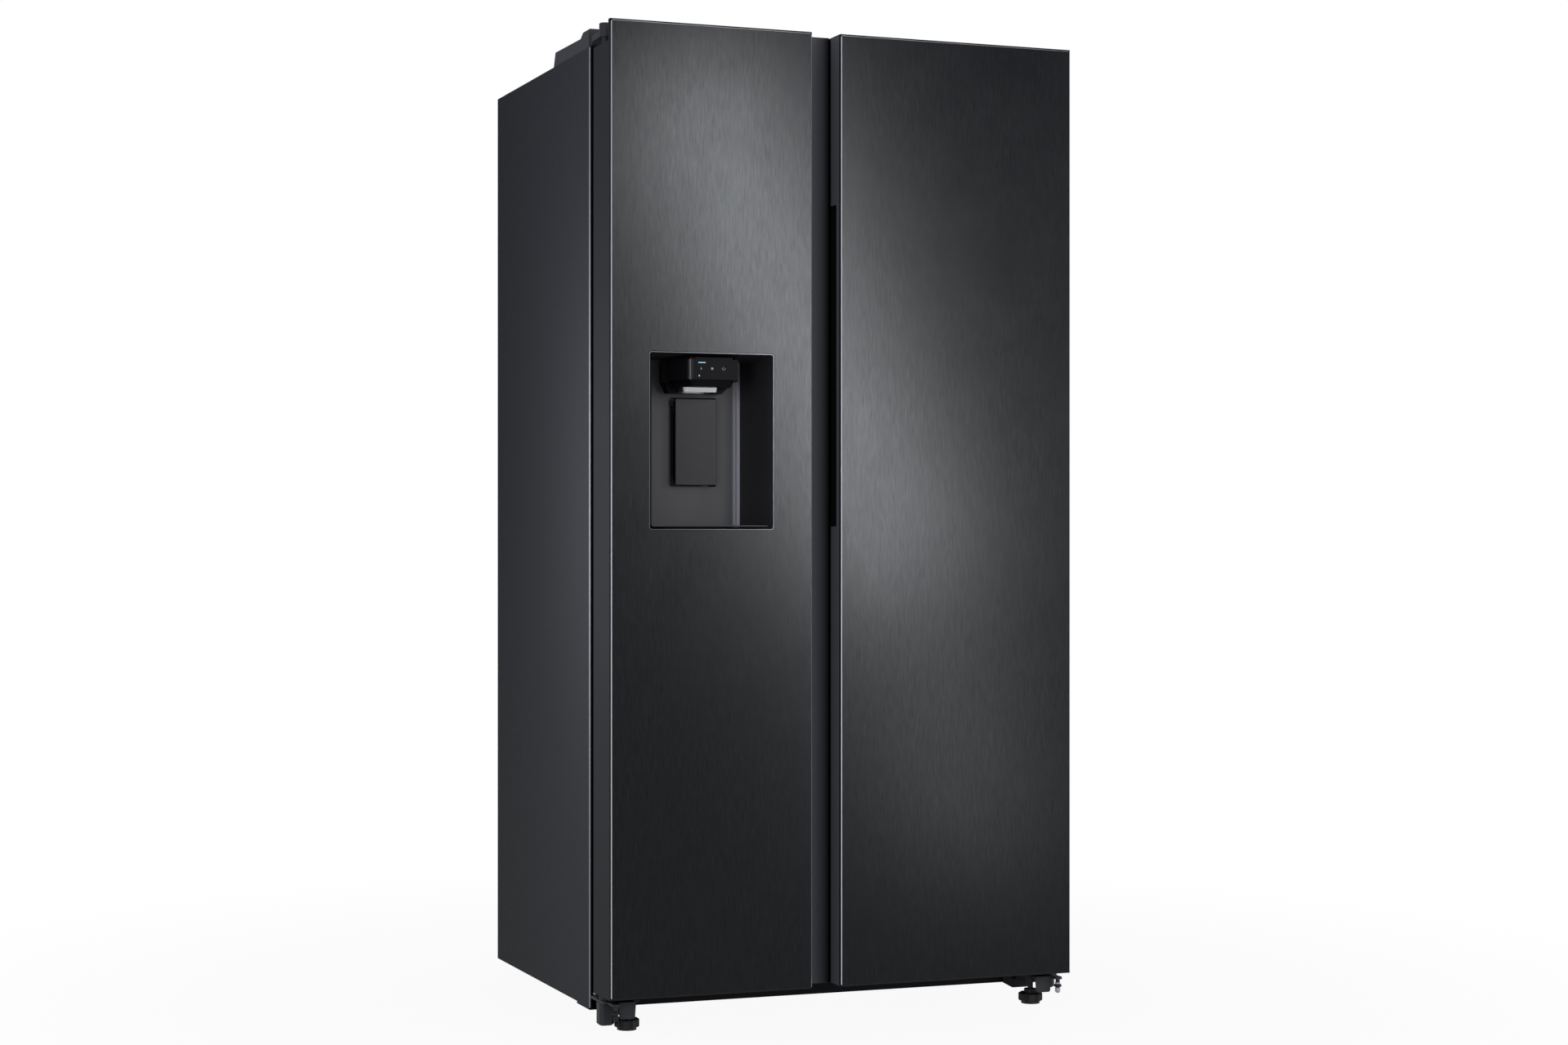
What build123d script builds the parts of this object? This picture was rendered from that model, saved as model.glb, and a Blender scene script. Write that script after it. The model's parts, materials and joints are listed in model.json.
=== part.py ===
import os
from math import cos, radians, sin

from build123d import *

os.makedirs("parts", exist_ok=True)

# Envelope: X to the right, Y to the back, Z up, floor at Z = 0
WIDTH = 912
DEPTH = 716
CASE_TOP = 1768
CASE_BOTTOM = 32
DOOR_TOP = 1799
DOOR_BOTTOM = 63
DOOR_THICK = 97
SEAL_GAP = 21
LEFT = -WIDTH / 2
RIGHT = WIDTH / 2
FRONT = -DEPTH / 2
REAR = DEPTH / 2
DOOR_BACK = FRONT + DOOR_THICK
CASE_FRONT = DOOR_BACK + SEAL_GAP

# Case sheet and liners
SHEET = 1.2
CASE_BEND = 4
FLANGE = 18
LINER = 2
APRON_TOP = 84
FOAM_FRONT = CASE_FRONT + 4
FOAM_BOTTOM = CASE_BOTTOM + 1.5
FOAM_REAR = REAR - 6
FREEZER_WALLS = (-400, -52)
FRIDGE_WALLS = (22, 410)
CAVITY_FLOOR = 96
CAVITY_TOP = 1716
CAVITY_REAR = 300
LIP_TUCK = 4
MULLION_LIP = 12

# Machine room at the bottom rear
NICHE_FRONT = 143
NICHE_STEP = 190
NICHE_SLOPE = 90
NICHE_TOP = 270
NICHE_WALL = 45
COVER_GAP = 3
COMPRESSOR_AT = (-270, 248)
COMPRESSOR_Z = (52, 184)
COIL_X = (70, 210)
COIL_Y = (180, 320)
COIL_ROWS = 6
SHROUD_X = 44
FAN_X = 26
FAN_AT = (250, 122)
FAN_RADIUS = 62
FAN_HUB = 16
FAN_THICK = 20
FAN_SHAFT = 3
BLADE_PITCH = 28

# Air ducts
DUCT_FRONT = 236
DUCT_BACK = CAVITY_REAR - LINER
EVAPORATOR_X = (-376, -76)
EVAPORATOR_Z = (414, 622)
EVAP_FAN = (sum(FREEZER_WALLS) / 2, 270, 730)
EVAP_FAN_RADIUS = 64
TOWER_HALF = 96
TOWER_DEEP = 28

# Shelves and drawers
SHELF_LEVELS = (505, 800, 1085, 1370)
PANE = 5
SHELF_FRONT = -128
RIB_DEPTH = 10
RIB_HEIGHT = 8
DRAWER_FRONT = -126
DRAWER_WALL = 3
LOWER_DRAWER = (104, 292)
UPPER_DRAWER = (312, 494)
LOWER_DRAWER_REAR = 84
UPPER_DRAWER_REAR = 180

# Doors
FREEZER_FACE = LEFT + 386
FREEZER_MEET = LEFT + 439
FRIDGE_FACE = LEFT + 442
CHANNEL_FLOOR = FRONT + 47
PANEL_THICK = 3
PANEL_EDGE = 1.5
PANEL_TOP = 1796.5
PANEL_BOTTOM = 64.5
PAN_FRONT = FRONT + PANEL_THICK
SKIN = 1.5
CAP_LIP = 1.5
TOP_CAP = 42
BOTTOM_CAP = 17
DOOR_LINER_Z = (72, 1760)
DYKE_DEPTH = 57
DYKE_WALL = 14
DYKE_EDGE = 2.5
DYKE_Z = (112, 1700)
FREEZER_DYKE = (LEFT + 70, LEFT + 388)
FRIDGE_DYKE = (LEFT + 494, LEFT + 846)
GASKET_WIDTH = 16
GASKET_NECK = 8
GASKET_BACK = CASE_FRONT - 0.3
GASKET_Z = (78, 1750)
FREEZER_GASKET = (LEFT + 34, LEFT + 424)
FRIDGE_GASKET = (LEFT + 458, LEFT + 886)
BIN_REAR = FRONT + 203
BIN_WALL = 3
BIN_HEIGHT = 118
BIN_LEAN = 14

# Handle pockets in the door sides that face the finger channel
GRIP_Z = (902, 1490)
GRIP_FRONT = 21
GRIP_REAR = 47
GRIP_HOOK = 12
GRIP_DEPTH = 34
GRIP_WALL = 2.5

# Hinges
HINGE_IN = 14
HINGE_Y = FRONT + 72
PIN = 6
PIN_CLEAR = 0.06
RECESS_FRONT = FRONT + 13.7
RECESS_FLOOR = 1762
RECESS_WIDE = 40
ARM_HALF = 10
ARM_Z = (1778, 1789)
KNOB_TOP = 1803
KNOB_RADIUS = 11
COVER_WIDE = 110
COVER_WALL = 2.5
BRACKET_Z = (50, 54)
BRACKET_WIDE = 70
BRACKET_FRONT = FRONT + 47
BARREL = 28
BARREL_CHAMFER = 6
BARREL_LOW = (9, 27)
FLANGE_LOW = 21
FLANGE_SLANT = (62.5, 83)
STOP_IN = 16.5
STOP_Y = FRONT + 20
STOP_HALF = 7.5
STOP_PIN = 4
STOP_LOW = 26
TAB_CENTRE = 41.5
TAB_WIDE = 32
TAB_Y = FRONT + 29
TAB_BOTTOM = 24.5

# Feet and rollers
FOOT_IN = 51.5
FOOT_Y = FRONT + 63
FOOT_RADIUS = 22.5
FOOT_TALL = 20
FOOT_PAD = 17.5
FOOT_PAD_TALL = 4.5
FOOT_LOBES = 8
FOOT_GROOVE = 3.2
FOOT_EDGE = 2
FOOT_NECK = 12
STUD = 5
ROLLER_RADIUS = 15
ROLLER_WIDE = 22
ROLLER_X = 386
ROLLER_Y = 300
AXLE = 4

# Dispenser, placed from the left door edge as in the photograph
RECESS_X = (LEFT + 73.4, LEFT + 309.2)
RECESS_Z = (896.7, 1210.8)
RECESS_BACK_X = (LEFT + 99.8, LEFT + 282.8)
RECESS_BACK_Z = (901, 1203)
RECESS_CORNER = 4
RECESS_BACK_CORNER = 4
RECESS_DEPTH = 107
BACK_PLATE_X = (LEFT + 109, LEFT + 278.5)
BACK_PLATE_FRONT = FRONT + 102
BACK_PLATE_ROUND = 4.5
BEZEL = 2.4
BEZEL_DEEP = 5
TUB_WALL = 2.5
SLOT_X = (LEFT + 148.5, LEFT + 237)
SLOT_Z = (974.5, 1136.5)
SLOT_BACK = FRONT + 122
BULGE_X = (LEFT + 87, LEFT + 350)
BULGE_Z = (868, 1240)
BULGE_BACK = FRONT + 136
HEAD_MID = LEFT + 196
HEAD_Z = (1164.4, 1200.4)
HEAD_FRONT = FRONT + 4
HEAD_REAR = BACK_PLATE_FRONT
HEAD_SHOULDER = FRONT + 61
HEAD_NARROW = 46
HEAD_WIDE = 68.5
HEAD_CORNERS = (12, 8)
COLLAR_INSET = 7
LIP_DROP = 12
COLLAR_TOP = 1204.5
HOOD_X = (LEFT + 127, LEFT + 248)
HOOD_DEEP = 24
HOOD_BOTTOM = 1143.3
SPOUT_X = (LEFT + 151.5, LEFT + 222)
SPOUT_Y = (FRONT + 46, FRONT + 97)
SPOUT_Z = (1144.3, 1153.3)
PADDLE_X = (LEFT + 152.6, LEFT + 233)
PADDLE_Z = (977, 1134)
PADDLE_FRONT = FRONT + 86
PADDLE_THICK = 6
PADDLE_AXIS = (FRONT + 101, 1126)
PADDLE_PIN = 3
EAR_WIDE = 3
EAR_HALF = 5
CHUTE_WALL = 2
CHUTE_Y = FRONT + 72
CHUTE_MOUTH = (48, 36)
CHUTE_HEAD = (56, 30)
CHUTE_ROUND = 8

# Ice maker in the freezer door
BUCKET_X = (LEFT + 96, LEFT + 362)
BUCKET_Z = (1262, 1540)
BUCKET_Y = (DOOR_BACK + 4, FRONT + 200)
AUGER_Y = FRONT + 151
AUGER_Z = 1312
AUGER_RADIUS = 36
AUGER_SHAFT = 6
AUGER_LEAN = 18
MAKER_Z = (1560, 1672)
MAKER_BACK = FRONT + 190
CUP_PITCH = (33, 35)
CUP_DEEP = 34


def block(x, y, z, mode=Mode.ADD):
    """Box given by its (low, high) limits along X, Y and Z."""
    with Locations((sum(x) / 2, sum(y) / 2, sum(z) / 2)):
        Box(x[1] - x[0], y[1] - y[0], z[1] - z[0], mode=mode)


def rod(start, end, radius, mode=Mode.ADD):
    """Cylinder between two points on a line along X, Y or Z."""
    axis = Vector(end) - Vector(start)
    with BuildSketch(Plane(origin=start, z_dir=axis)) as disc:
        Circle(radius)
    extrude(disc.sketch, amount=axis.length, mode=mode)


def rect(across, up, mode=Mode.ADD):
    """Rectangle in the active sketch from its (low, high) limits."""
    with Locations((sum(across) / 2, sum(up) / 2)):
        Rectangle(across[1] - across[0], up[1] - up[0], mode=mode)


def grown(limits, margin):
    """Limits moved outwards by a margin at both ends."""
    return (limits[0] - margin, limits[1] + margin)


def looking_back(y):
    """Plane at depth y with X across and Z up; a negative extrusion goes to the back."""
    return Plane.XZ.offset(-y)


def save(part, name):
    part.label = name
    export_step(part, f"parts/{name}.step")


def foam_profile():
    """Side view of the space inside the case, with the machine room cut out of its lower rear."""
    return [
        (FOAM_FRONT, FOAM_BOTTOM),
        (NICHE_FRONT, FOAM_BOTTOM),
        (NICHE_FRONT, NICHE_STEP),
        (NICHE_FRONT + NICHE_SLOPE, NICHE_TOP),
        (FOAM_REAR, NICHE_TOP),
        (FOAM_REAR, CASE_TOP - SHEET),
        (FOAM_FRONT, CASE_TOP - SHEET),
    ]


def cavity_profile(inset):
    """Side view of a compartment, stepped over the machine room, drawn in by an inset."""
    front = CASE_FRONT + SHEET
    step = NICHE_FRONT - NICHE_WALL
    return [
        (front, CAVITY_FLOOR + inset),
        (step - inset, CAVITY_FLOOR + inset),
        (step - inset, NICHE_STEP + NICHE_WALL + inset / 2),
        (step + NICHE_SLOPE - inset / 2, NICHE_TOP + NICHE_WALL + inset),
        (CAVITY_REAR - inset, NICHE_TOP + NICHE_WALL + inset),
        (CAVITY_REAR - inset, CAVITY_TOP - inset),
        (front, CAVITY_TOP - inset),
    ]


def side_panel(side, name):
    """Painted steel side, folded inwards at the front; side is -1 on the left and 1 on the right."""
    edge = side * WIDTH / 2
    with BuildPart() as panel:
        with BuildSketch(Plane.XY.offset(CASE_BOTTOM)) as plan:
            Polygon(
                (edge, CASE_FRONT),
                (edge - side * FLANGE, CASE_FRONT),
                (edge - side * FLANGE, CASE_FRONT + SHEET),
                (edge - side * SHEET, CASE_FRONT + SHEET),
                (edge - side * SHEET, REAR),
                (edge, REAR),
                align=None,
            )
            outside = plan.vertices().sort_by_distance((edge, CASE_FRONT))[0]
            fillet(outside, CASE_BEND)
            inside = plan.vertices().sort_by_distance((edge - side * SHEET, CASE_FRONT + SHEET))[0]
            fillet(inside, CASE_BEND - SHEET)
        extrude(amount=CASE_TOP - CASE_BOTTOM)
    save(panel.part, name)


side_panel(-1, "side_panel_left")
side_panel(1, "side_panel_right")

# Top sheet between the sides, folded down at the front
with BuildPart() as top_panel:
    with BuildSketch(Plane.YZ.offset(LEFT + FLANGE)) as fold:
        Polygon(
            (CASE_FRONT, CASE_TOP),
            (CASE_FRONT, CASE_TOP - FLANGE),
            (CASE_FRONT + SHEET, CASE_TOP - FLANGE),
            (CASE_FRONT + SHEET, CASE_TOP - SHEET),
            (REAR - COVER_GAP, CASE_TOP - SHEET),
            (REAR - COVER_GAP, CASE_TOP),
            align=None,
        )
        fillet(fold.vertices().sort_by_distance((CASE_FRONT, CASE_TOP))[0], CASE_BEND)
        fillet(
            fold.vertices().sort_by_distance((CASE_FRONT + SHEET, CASE_TOP - SHEET))[0],
            CASE_BEND - SHEET,
        )
    extrude(amount=WIDTH - 2 * FLANGE)
    wing = (CASE_FRONT + CASE_BEND + SHEET, REAR - COVER_GAP)
    block((LEFT + SHEET, LEFT + FLANGE), wing, (CASE_TOP - SHEET, CASE_TOP))
    block((RIGHT - FLANGE, RIGHT - SHEET), wing, (CASE_TOP - SHEET, CASE_TOP))
save(top_panel.part, "top_panel")

# Foam between case and liners
with BuildPart() as cabinet_insulation:
    with BuildSketch(Plane.YZ.offset(LEFT + SHEET)):
        Polygon(*foam_profile(), align=None)
    extrude(amount=WIDTH - 2 * SHEET)
    for walls in (FREEZER_WALLS, FRIDGE_WALLS):
        with BuildSketch(Plane.YZ.offset(walls[0])):
            Polygon(*cavity_profile(0), align=None)
        extrude(amount=walls[1] - walls[0], mode=Mode.SUBTRACT)
save(cabinet_insulation.part, "cabinet_insulation")


def drawer_rim(heights):
    """Height of the rib top that a drawer's rim runs on."""
    return heights[1] - DRAWER_WALL - 0.5


def liner(walls, lip_x, name):
    """Compartment liner: a stepped tub with a front lip and moulded ribs for shelves and drawers."""
    low, high = walls
    with BuildPart() as tub:
        with BuildSketch(Plane.YZ.offset(low)):
            Polygon(*cavity_profile(0), align=None)
        extrude(amount=high - low)
        with BuildSketch(looking_back(CASE_FRONT + SHEET)):
            rect(lip_x, (APRON_TOP - LIP_TUCK, CASE_TOP - FLANGE + LIP_TUCK))
        extrude(amount=-LINER)
        with BuildSketch(Plane.YZ.offset(low + LINER)):
            Polygon(*cavity_profile(LINER), align=None)
        extrude(amount=high - low - 2 * LINER, mode=Mode.SUBTRACT)
        for level in SHELF_LEVELS:
            for x in ((low, low + RIB_DEPTH + LINER), (high - RIB_DEPTH - LINER, high)):
                block(x, (SHELF_FRONT + 14, CAVITY_REAR - 90), (level - RIB_HEIGHT, level))
        for heights in (LOWER_DRAWER, UPPER_DRAWER):
            rib = drawer_rim(heights)
            for x in ((low, low + RIB_DEPTH + LINER), (high - RIB_DEPTH - LINER, high)):
                block(x, (DRAWER_FRONT + 20, LOWER_DRAWER_REAR), (rib - RIB_HEIGHT, rib))
    save(tub.part, name)


liner(FREEZER_WALLS, (LEFT + FLANGE - LIP_TUCK, FREEZER_WALLS[1] + MULLION_LIP), "freezer_liner")
liner(FRIDGE_WALLS, (FRIDGE_WALLS[0] - MULLION_LIP, RIGHT - FLANGE + LIP_TUCK), "fridge_liner")

# Steel strip over the front of the wall between the compartments
with BuildPart() as mullion_plate:
    strip = (FREEZER_WALLS[1] + LINER, FRIDGE_WALLS[0] - LINER)
    block(strip, (CASE_FRONT, CASE_FRONT + SHEET), (APRON_TOP + 1, CASE_TOP - FLANGE - 1))
save(mullion_plate.part, "mullion_plate")

# Rear sheet with pressed vertical beads
with BuildPart() as back_panel:
    bead_z = (NICHE_TOP + 90, CASE_TOP - 120)
    with BuildSketch(looking_back(REAR - 4)):
        rect((LEFT + SHEET, RIGHT - SHEET), (NICHE_TOP - 6, CASE_TOP - SHEET))
    extrude(amount=1)
    with BuildSketch(looking_back(REAR - 4)):
        with Locations((0, sum(bead_z) / 2)):
            with GridLocations(210, 0, 4, 1):
                SlotOverall(bead_z[1] - bead_z[0], 46, rotation=90)
    extrude(amount=-2.5, taper=35)
save(back_panel.part, "back_panel")

# Base plate with a turned-up apron, corner rails and the welded roller brackets
with BuildPart() as base_pan:
    floor_z = (CASE_BOTTOM, FOAM_BOTTOM)
    block((LEFT + SHEET, RIGHT - SHEET), (CASE_FRONT + CASE_BEND, REAR - 6), floor_z)
    apron_x = (LEFT + FLANGE, RIGHT - FLANGE)
    block(apron_x, (CASE_FRONT, CASE_FRONT + CASE_BEND), floor_z)
    block(apron_x, (CASE_FRONT, CASE_FRONT + SHEET), (CASE_BOTTOM, APRON_TOP))
    for side in (-1, 1):
        rail_x = sorted((side * WIDTH / 2, side * (WIDTH / 2 - 34)))
        block(rail_x, (CASE_FRONT + 1, CASE_FRONT + 76), (CASE_BOTTOM - 4, CASE_BOTTOM))
        for cheek in (-1, 1):
            cheek_x = side * ROLLER_X + cheek * (ROLLER_WIDE / 2 + 2.5)
            with BuildSketch(Plane.YZ.offset(cheek_x - 1.5)):
                rect((ROLLER_Y - 22, ROLLER_Y + 22), (ROLLER_RADIUS + 4, CASE_BOTTOM))
                with Locations((ROLLER_Y, ROLLER_RADIUS)):
                    Circle(10)
                Polygon(
                    (ROLLER_Y - 22, ROLLER_RADIUS + 4.1),
                    (ROLLER_Y + 22, ROLLER_RADIUS + 4.1),
                    (ROLLER_Y + 9, ROLLER_RADIUS - 4),
                    (ROLLER_Y - 9, ROLLER_RADIUS - 4),
                    align=None,
                )
            extrude(amount=3)
        reach = ROLLER_WIDE / 2 + 3
        rod(
            (side * ROLLER_X - reach, ROLLER_Y, ROLLER_RADIUS),
            (side * ROLLER_X + reach, ROLLER_Y, ROLLER_RADIUS),
            AXLE,
        )
save(base_pan.part, "base_pan")

# Louvred sheet over the machine room
with BuildPart() as machine_room_cover:
    cover_z = (FOAM_BOTTOM + 3, NICHE_TOP - 10)
    with BuildSketch(looking_back(REAR - 5)):
        rect((LEFT + 6, RIGHT - 6), cover_z)
        for x in (-270, 60, 290):
            with Locations((x, sum(cover_z) / 2)):
                with GridLocations(0, 20, 1, 8):
                    SlotOverall(170, 8, mode=Mode.SUBTRACT)
    extrude(amount=-2)
    with BuildSketch(looking_back(REAR - 5)):
        rect((LEFT + 6, RIGHT - 6), (cover_z[1] - 3, cover_z[1]))
    extrude(amount=8)
save(machine_room_cover.part, "machine_room_cover")

# Hermetic compressor can on its sprung feet
with BuildPart() as compressor:
    can_x, can_y = COMPRESSOR_AT
    with BuildSketch(Plane.XY.offset(COMPRESSOR_Z[0])):
        with Locations(COMPRESSOR_AT):
            SlotCenterToCenter(44, 138)
    extrude(amount=COMPRESSOR_Z[1] - COMPRESSOR_Z[0])
    lids = compressor.faces().filter_by(Axis.Z)
    fillet(lids.edges(), 30)
    with BuildSketch(Plane.XY.offset(sum(COMPRESSOR_Z) / 2 - 6)):
        with Locations(COMPRESSOR_AT):
            SlotCenterToCenter(44, 146)
    extrude(amount=6)
    with BuildSketch(Plane.XY.offset(COMPRESSOR_Z[0] - 2)):
        with Locations(COMPRESSOR_AT):
            RectangleRounded(212, 120, 18)
    extrude(amount=5)
    for x in (can_x - 88, can_x + 88):
        for y in (can_y - 44, can_y + 44):
            rod((x, y, FOAM_BOTTOM), (x, y, COMPRESSOR_Z[0] - 1), 11)
    for x, top in ((can_x - 40, 214), (can_x + 34, 206)):
        rod((x, can_y, sum(COMPRESSOR_Z) / 2), (x, can_y, top), 4)
save(compressor.part, "compressor")

# Flat-tube condenser on two end plates, with the fan shroud beside it
with BuildPart() as condenser:
    for x in COIL_X:
        block((x - 2, x + 2), grown(COIL_Y, 8), (FOAM_BOTTOM, 205))
    for row in range(COIL_ROWS):
        tube = 72 + row * 24
        block(COIL_X, COIL_Y, (tube, tube + 4))
    for fin in range(9):
        x = COIL_X[0] + 14 + fin * 14
        block((x, x + 0.8), COIL_Y, (68, 198))
    with BuildSketch(Plane.YZ.offset(SHROUD_X)):
        rect(grown(COIL_Y, 4), (FOAM_BOTTOM, 196))
        with Locations(FAN_AT):
            Circle(FAN_RADIUS + 5, mode=Mode.SUBTRACT)
            Circle(FAN_HUB + 1)
            with PolarLocations(0, 3):
                with Locations((FAN_RADIUS / 2 + 6, 0)):
                    Rectangle(FAN_RADIUS, 8)
    extrude(amount=3)
    rod((SHROUD_X, *FAN_AT), (FAN_X - 12, *FAN_AT), FAN_SHAFT)
save(condenser.part, "condenser")

# Evaporating tray under the condenser
with BuildPart() as drain_pan:
    with BuildSketch(Plane.XY.offset(FOAM_BOTTOM)):
        rect(grown(COIL_X, -8), grown(COIL_Y, -4))
    extrude(amount=26, taper=-4)
    offset(amount=-2, openings=drain_pan.faces().sort_by(Axis.Z)[-1])
save(drain_pan.part, "drain_pan")


def fan(centre, forward, radius, name):
    """Five-bladed fan that turns on a fixed shaft along the forward direction."""
    hub_plane = Plane(origin=centre, z_dir=forward)
    root = FAN_HUB - 4
    with BuildPart() as rotor:
        with BuildSketch(hub_plane.offset(-FAN_THICK / 2)):
            Circle(FAN_HUB)
        extrude(amount=FAN_THICK)
        for turn in range(5):
            angle = radians(turn * 72)
            radial = hub_plane.x_dir * cos(angle) + hub_plane.y_dir * sin(angle)
            pitched = hub_plane.z_dir.rotate(Axis(centre, radial), BLADE_PITCH)
            with BuildSketch(Plane(origin=centre, x_dir=radial, z_dir=pitched).offset(-1)):
                Polygon(
                    (root, -9),
                    (radius * 0.55, -17),
                    (radius * 0.96, -15),
                    (radius * 0.98, 9),
                    (radius * 0.55, 15),
                    (root, 9),
                    align=None,
                )
            extrude(amount=2)
        with BuildSketch(hub_plane.offset(-FAN_THICK)):
            Circle(FAN_SHAFT + PIN_CLEAR)
        extrude(amount=2 * FAN_THICK, mode=Mode.SUBTRACT)
    save(rotor.part, name)


fan((FAN_X, *FAN_AT), (1, 0, 0), FAN_RADIUS, "condenser_fan")

# Finned evaporator behind the freezer duct panel
with BuildPart() as evaporator:
    tube_y = (DUCT_FRONT + 16, DUCT_FRONT + 52)
    for row in range(6):
        tube = EVAPORATOR_Z[0] + 10 + row * 36
        block(EVAPORATOR_X, tube_y, (tube, tube + 8))
    for fin in range(13):
        x = EVAPORATOR_X[0] + 4 + fin * 24
        block((x, x + 1), grown(tube_y, 4), EVAPORATOR_Z)
save(evaporator.part, "evaporator")

# Freezer air duct: a channel in front of the evaporator with slots and a fan grille
with BuildPart() as freezer_duct_panel:
    inner = (FREEZER_WALLS[0] + LINER + 1, FREEZER_WALLS[1] - LINER - 1)
    duct_z = (NICHE_TOP + NICHE_WALL + LINER + 1, CAVITY_TOP - LINER - 1)
    with BuildSketch(Plane.XY.offset(duct_z[0])):
        rect(inner, (DUCT_FRONT, DUCT_BACK))
        rect((inner[0] + 3, inner[1] - 3), (DUCT_FRONT + 3, DUCT_BACK + 1), mode=Mode.SUBTRACT)
    extrude(amount=duct_z[1] - duct_z[0])
    with BuildSketch(looking_back(DUCT_FRONT)):
        for level in (380, 960, 1230, 1500, 1640):
            with Locations((EVAP_FAN[0], level)):
                with GridLocations(92, 16, 2, 2):
                    SlotOverall(76, 7)
        with Locations((EVAP_FAN[0], EVAP_FAN[2])):
            for ring in (30, 42, 54):
                with PolarLocations(ring, ring // 6):
                    RectangleRounded(7, 9, 3)
    extrude(amount=-3, mode=Mode.SUBTRACT)
    post = (EVAP_FAN[0], DUCT_FRONT + 2, EVAP_FAN[2])
    rod(post, (post[0], EVAP_FAN[1] - 14, post[2]), 15)
    rod(post, (post[0], EVAP_FAN[1] + 12, post[2]), FAN_SHAFT)
save(freezer_duct_panel.part, "freezer_duct_panel")
fan(EVAP_FAN, (0, 1, 0), EVAP_FAN_RADIUS, "evaporator_fan")

# Fresh-food air tower on the rear wall
with BuildPart() as fridge_duct_panel:
    tower_mid = sum(FRIDGE_WALLS) / 2
    with BuildSketch(looking_back(DUCT_BACK)):
        rect(grown((tower_mid, tower_mid), TOWER_HALF), (530, CAVITY_TOP - LINER - 1))
    extrude(amount=TOWER_DEEP, taper=12)
    with BuildSketch(looking_back(DUCT_BACK - TOWER_DEEP - 1)):
        for level in (600, 690, 900, 990, 1180, 1270, 1470, 1560, 1650):
            for x in (-50, 50):
                with Locations((tower_mid + x, level)):
                    SlotOverall(56, 9)
    extrude(amount=-14, mode=Mode.SUBTRACT)
save(fridge_duct_panel.part, "fridge_duct_panel")


def shelf_spans():
    """X limits and rear edge of a pane in each compartment."""
    freezer = grown(FREEZER_WALLS, -LINER - 2)
    fridge = grown(FRIDGE_WALLS, -LINER - 2)
    return ((freezer, DUCT_FRONT - 4), (fridge, DUCT_BACK - TOWER_DEEP - 6))


# Tempered glass panes on the liner ribs
with BuildPart() as shelf_panes:
    for across, back in shelf_spans():
        for level in SHELF_LEVELS:
            block(across, (SHELF_FRONT, back), (level, level + PANE))
save(shelf_panes.part, "shelf_panes")

# Plastic edge trims that grip the front and rear of each pane
with BuildPart() as shelf_trims:
    for across, back in shelf_spans():
        for level in SHELF_LEVELS:
            block(across, (SHELF_FRONT - 5, SHELF_FRONT + 9), (level - 5, level + PANE + 7))
            block(across, (SHELF_FRONT, back), (level, level + PANE), mode=Mode.SUBTRACT)
            block(across, (back - 8, back), (level + PANE, level + PANE + 9))
save(shelf_trims.part, "shelf_trims")

# Lamp lenses under each ceiling
with BuildPart() as interior_lamps:
    for walls in (FREEZER_WALLS, FRIDGE_WALLS):
        with BuildSketch(Plane.XY.offset(CAVITY_TOP - LINER)):
            with Locations((sum(walls) / 2, -20)):
                RectangleRounded(190, 90, 12)
        extrude(amount=-9, taper=20)
save(interior_lamps.part, "interior_lamps")


def drawer(walls, heights, back, name):
    """Tapered tub with a rim that runs on the liner ribs and a thick front with a scooped pull."""
    low, high = grown(walls, -LINER - 4)
    bottom, top = heights
    with BuildPart() as tub:
        inner = (low + RIB_DEPTH, high - RIB_DEPTH)
        with BuildSketch(Plane.XY.offset(top)):
            rect(inner, (DRAWER_FRONT + 4, back))
        extrude(amount=bottom - top, taper=2)
        offset(amount=-DRAWER_WALL, openings=tub.faces().sort_by(Axis.Z)[-1])
        with BuildSketch(Plane.XY.offset(top - DRAWER_WALL)):
            rect((low, high), (DRAWER_FRONT + 10, LOWER_DRAWER_REAR))
            hollow = grown(inner, -DRAWER_WALL)
            rect(hollow, (DRAWER_FRONT + 4, LOWER_DRAWER_REAR + 1), mode=Mode.SUBTRACT)
        extrude(amount=DRAWER_WALL)
        with BuildSketch(looking_back(DRAWER_FRONT + 10)):
            with Locations((sum(inner) / 2, (top + bottom) / 2 + 1)):
                RectangleRounded(high - low, top - bottom - 2, 8)
        extrude(amount=10)
        with BuildSketch(looking_back(DRAWER_FRONT)):
            with Locations((sum(inner) / 2, top - 30)):
                SlotOverall(150, 26)
        extrude(amount=-5, taper=25, mode=Mode.SUBTRACT)
    save(tub.part, name)


drawer(FREEZER_WALLS, UPPER_DRAWER, UPPER_DRAWER_REAR, "freezer_drawer_upper")
drawer(FREEZER_WALLS, LOWER_DRAWER, LOWER_DRAWER_REAR, "freezer_drawer_lower")
drawer(FRIDGE_WALLS, UPPER_DRAWER, UPPER_DRAWER_REAR, "crisper_upper")
drawer(FRIDGE_WALLS, LOWER_DRAWER, LOWER_DRAWER_REAR, "crisper_lower")


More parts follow.
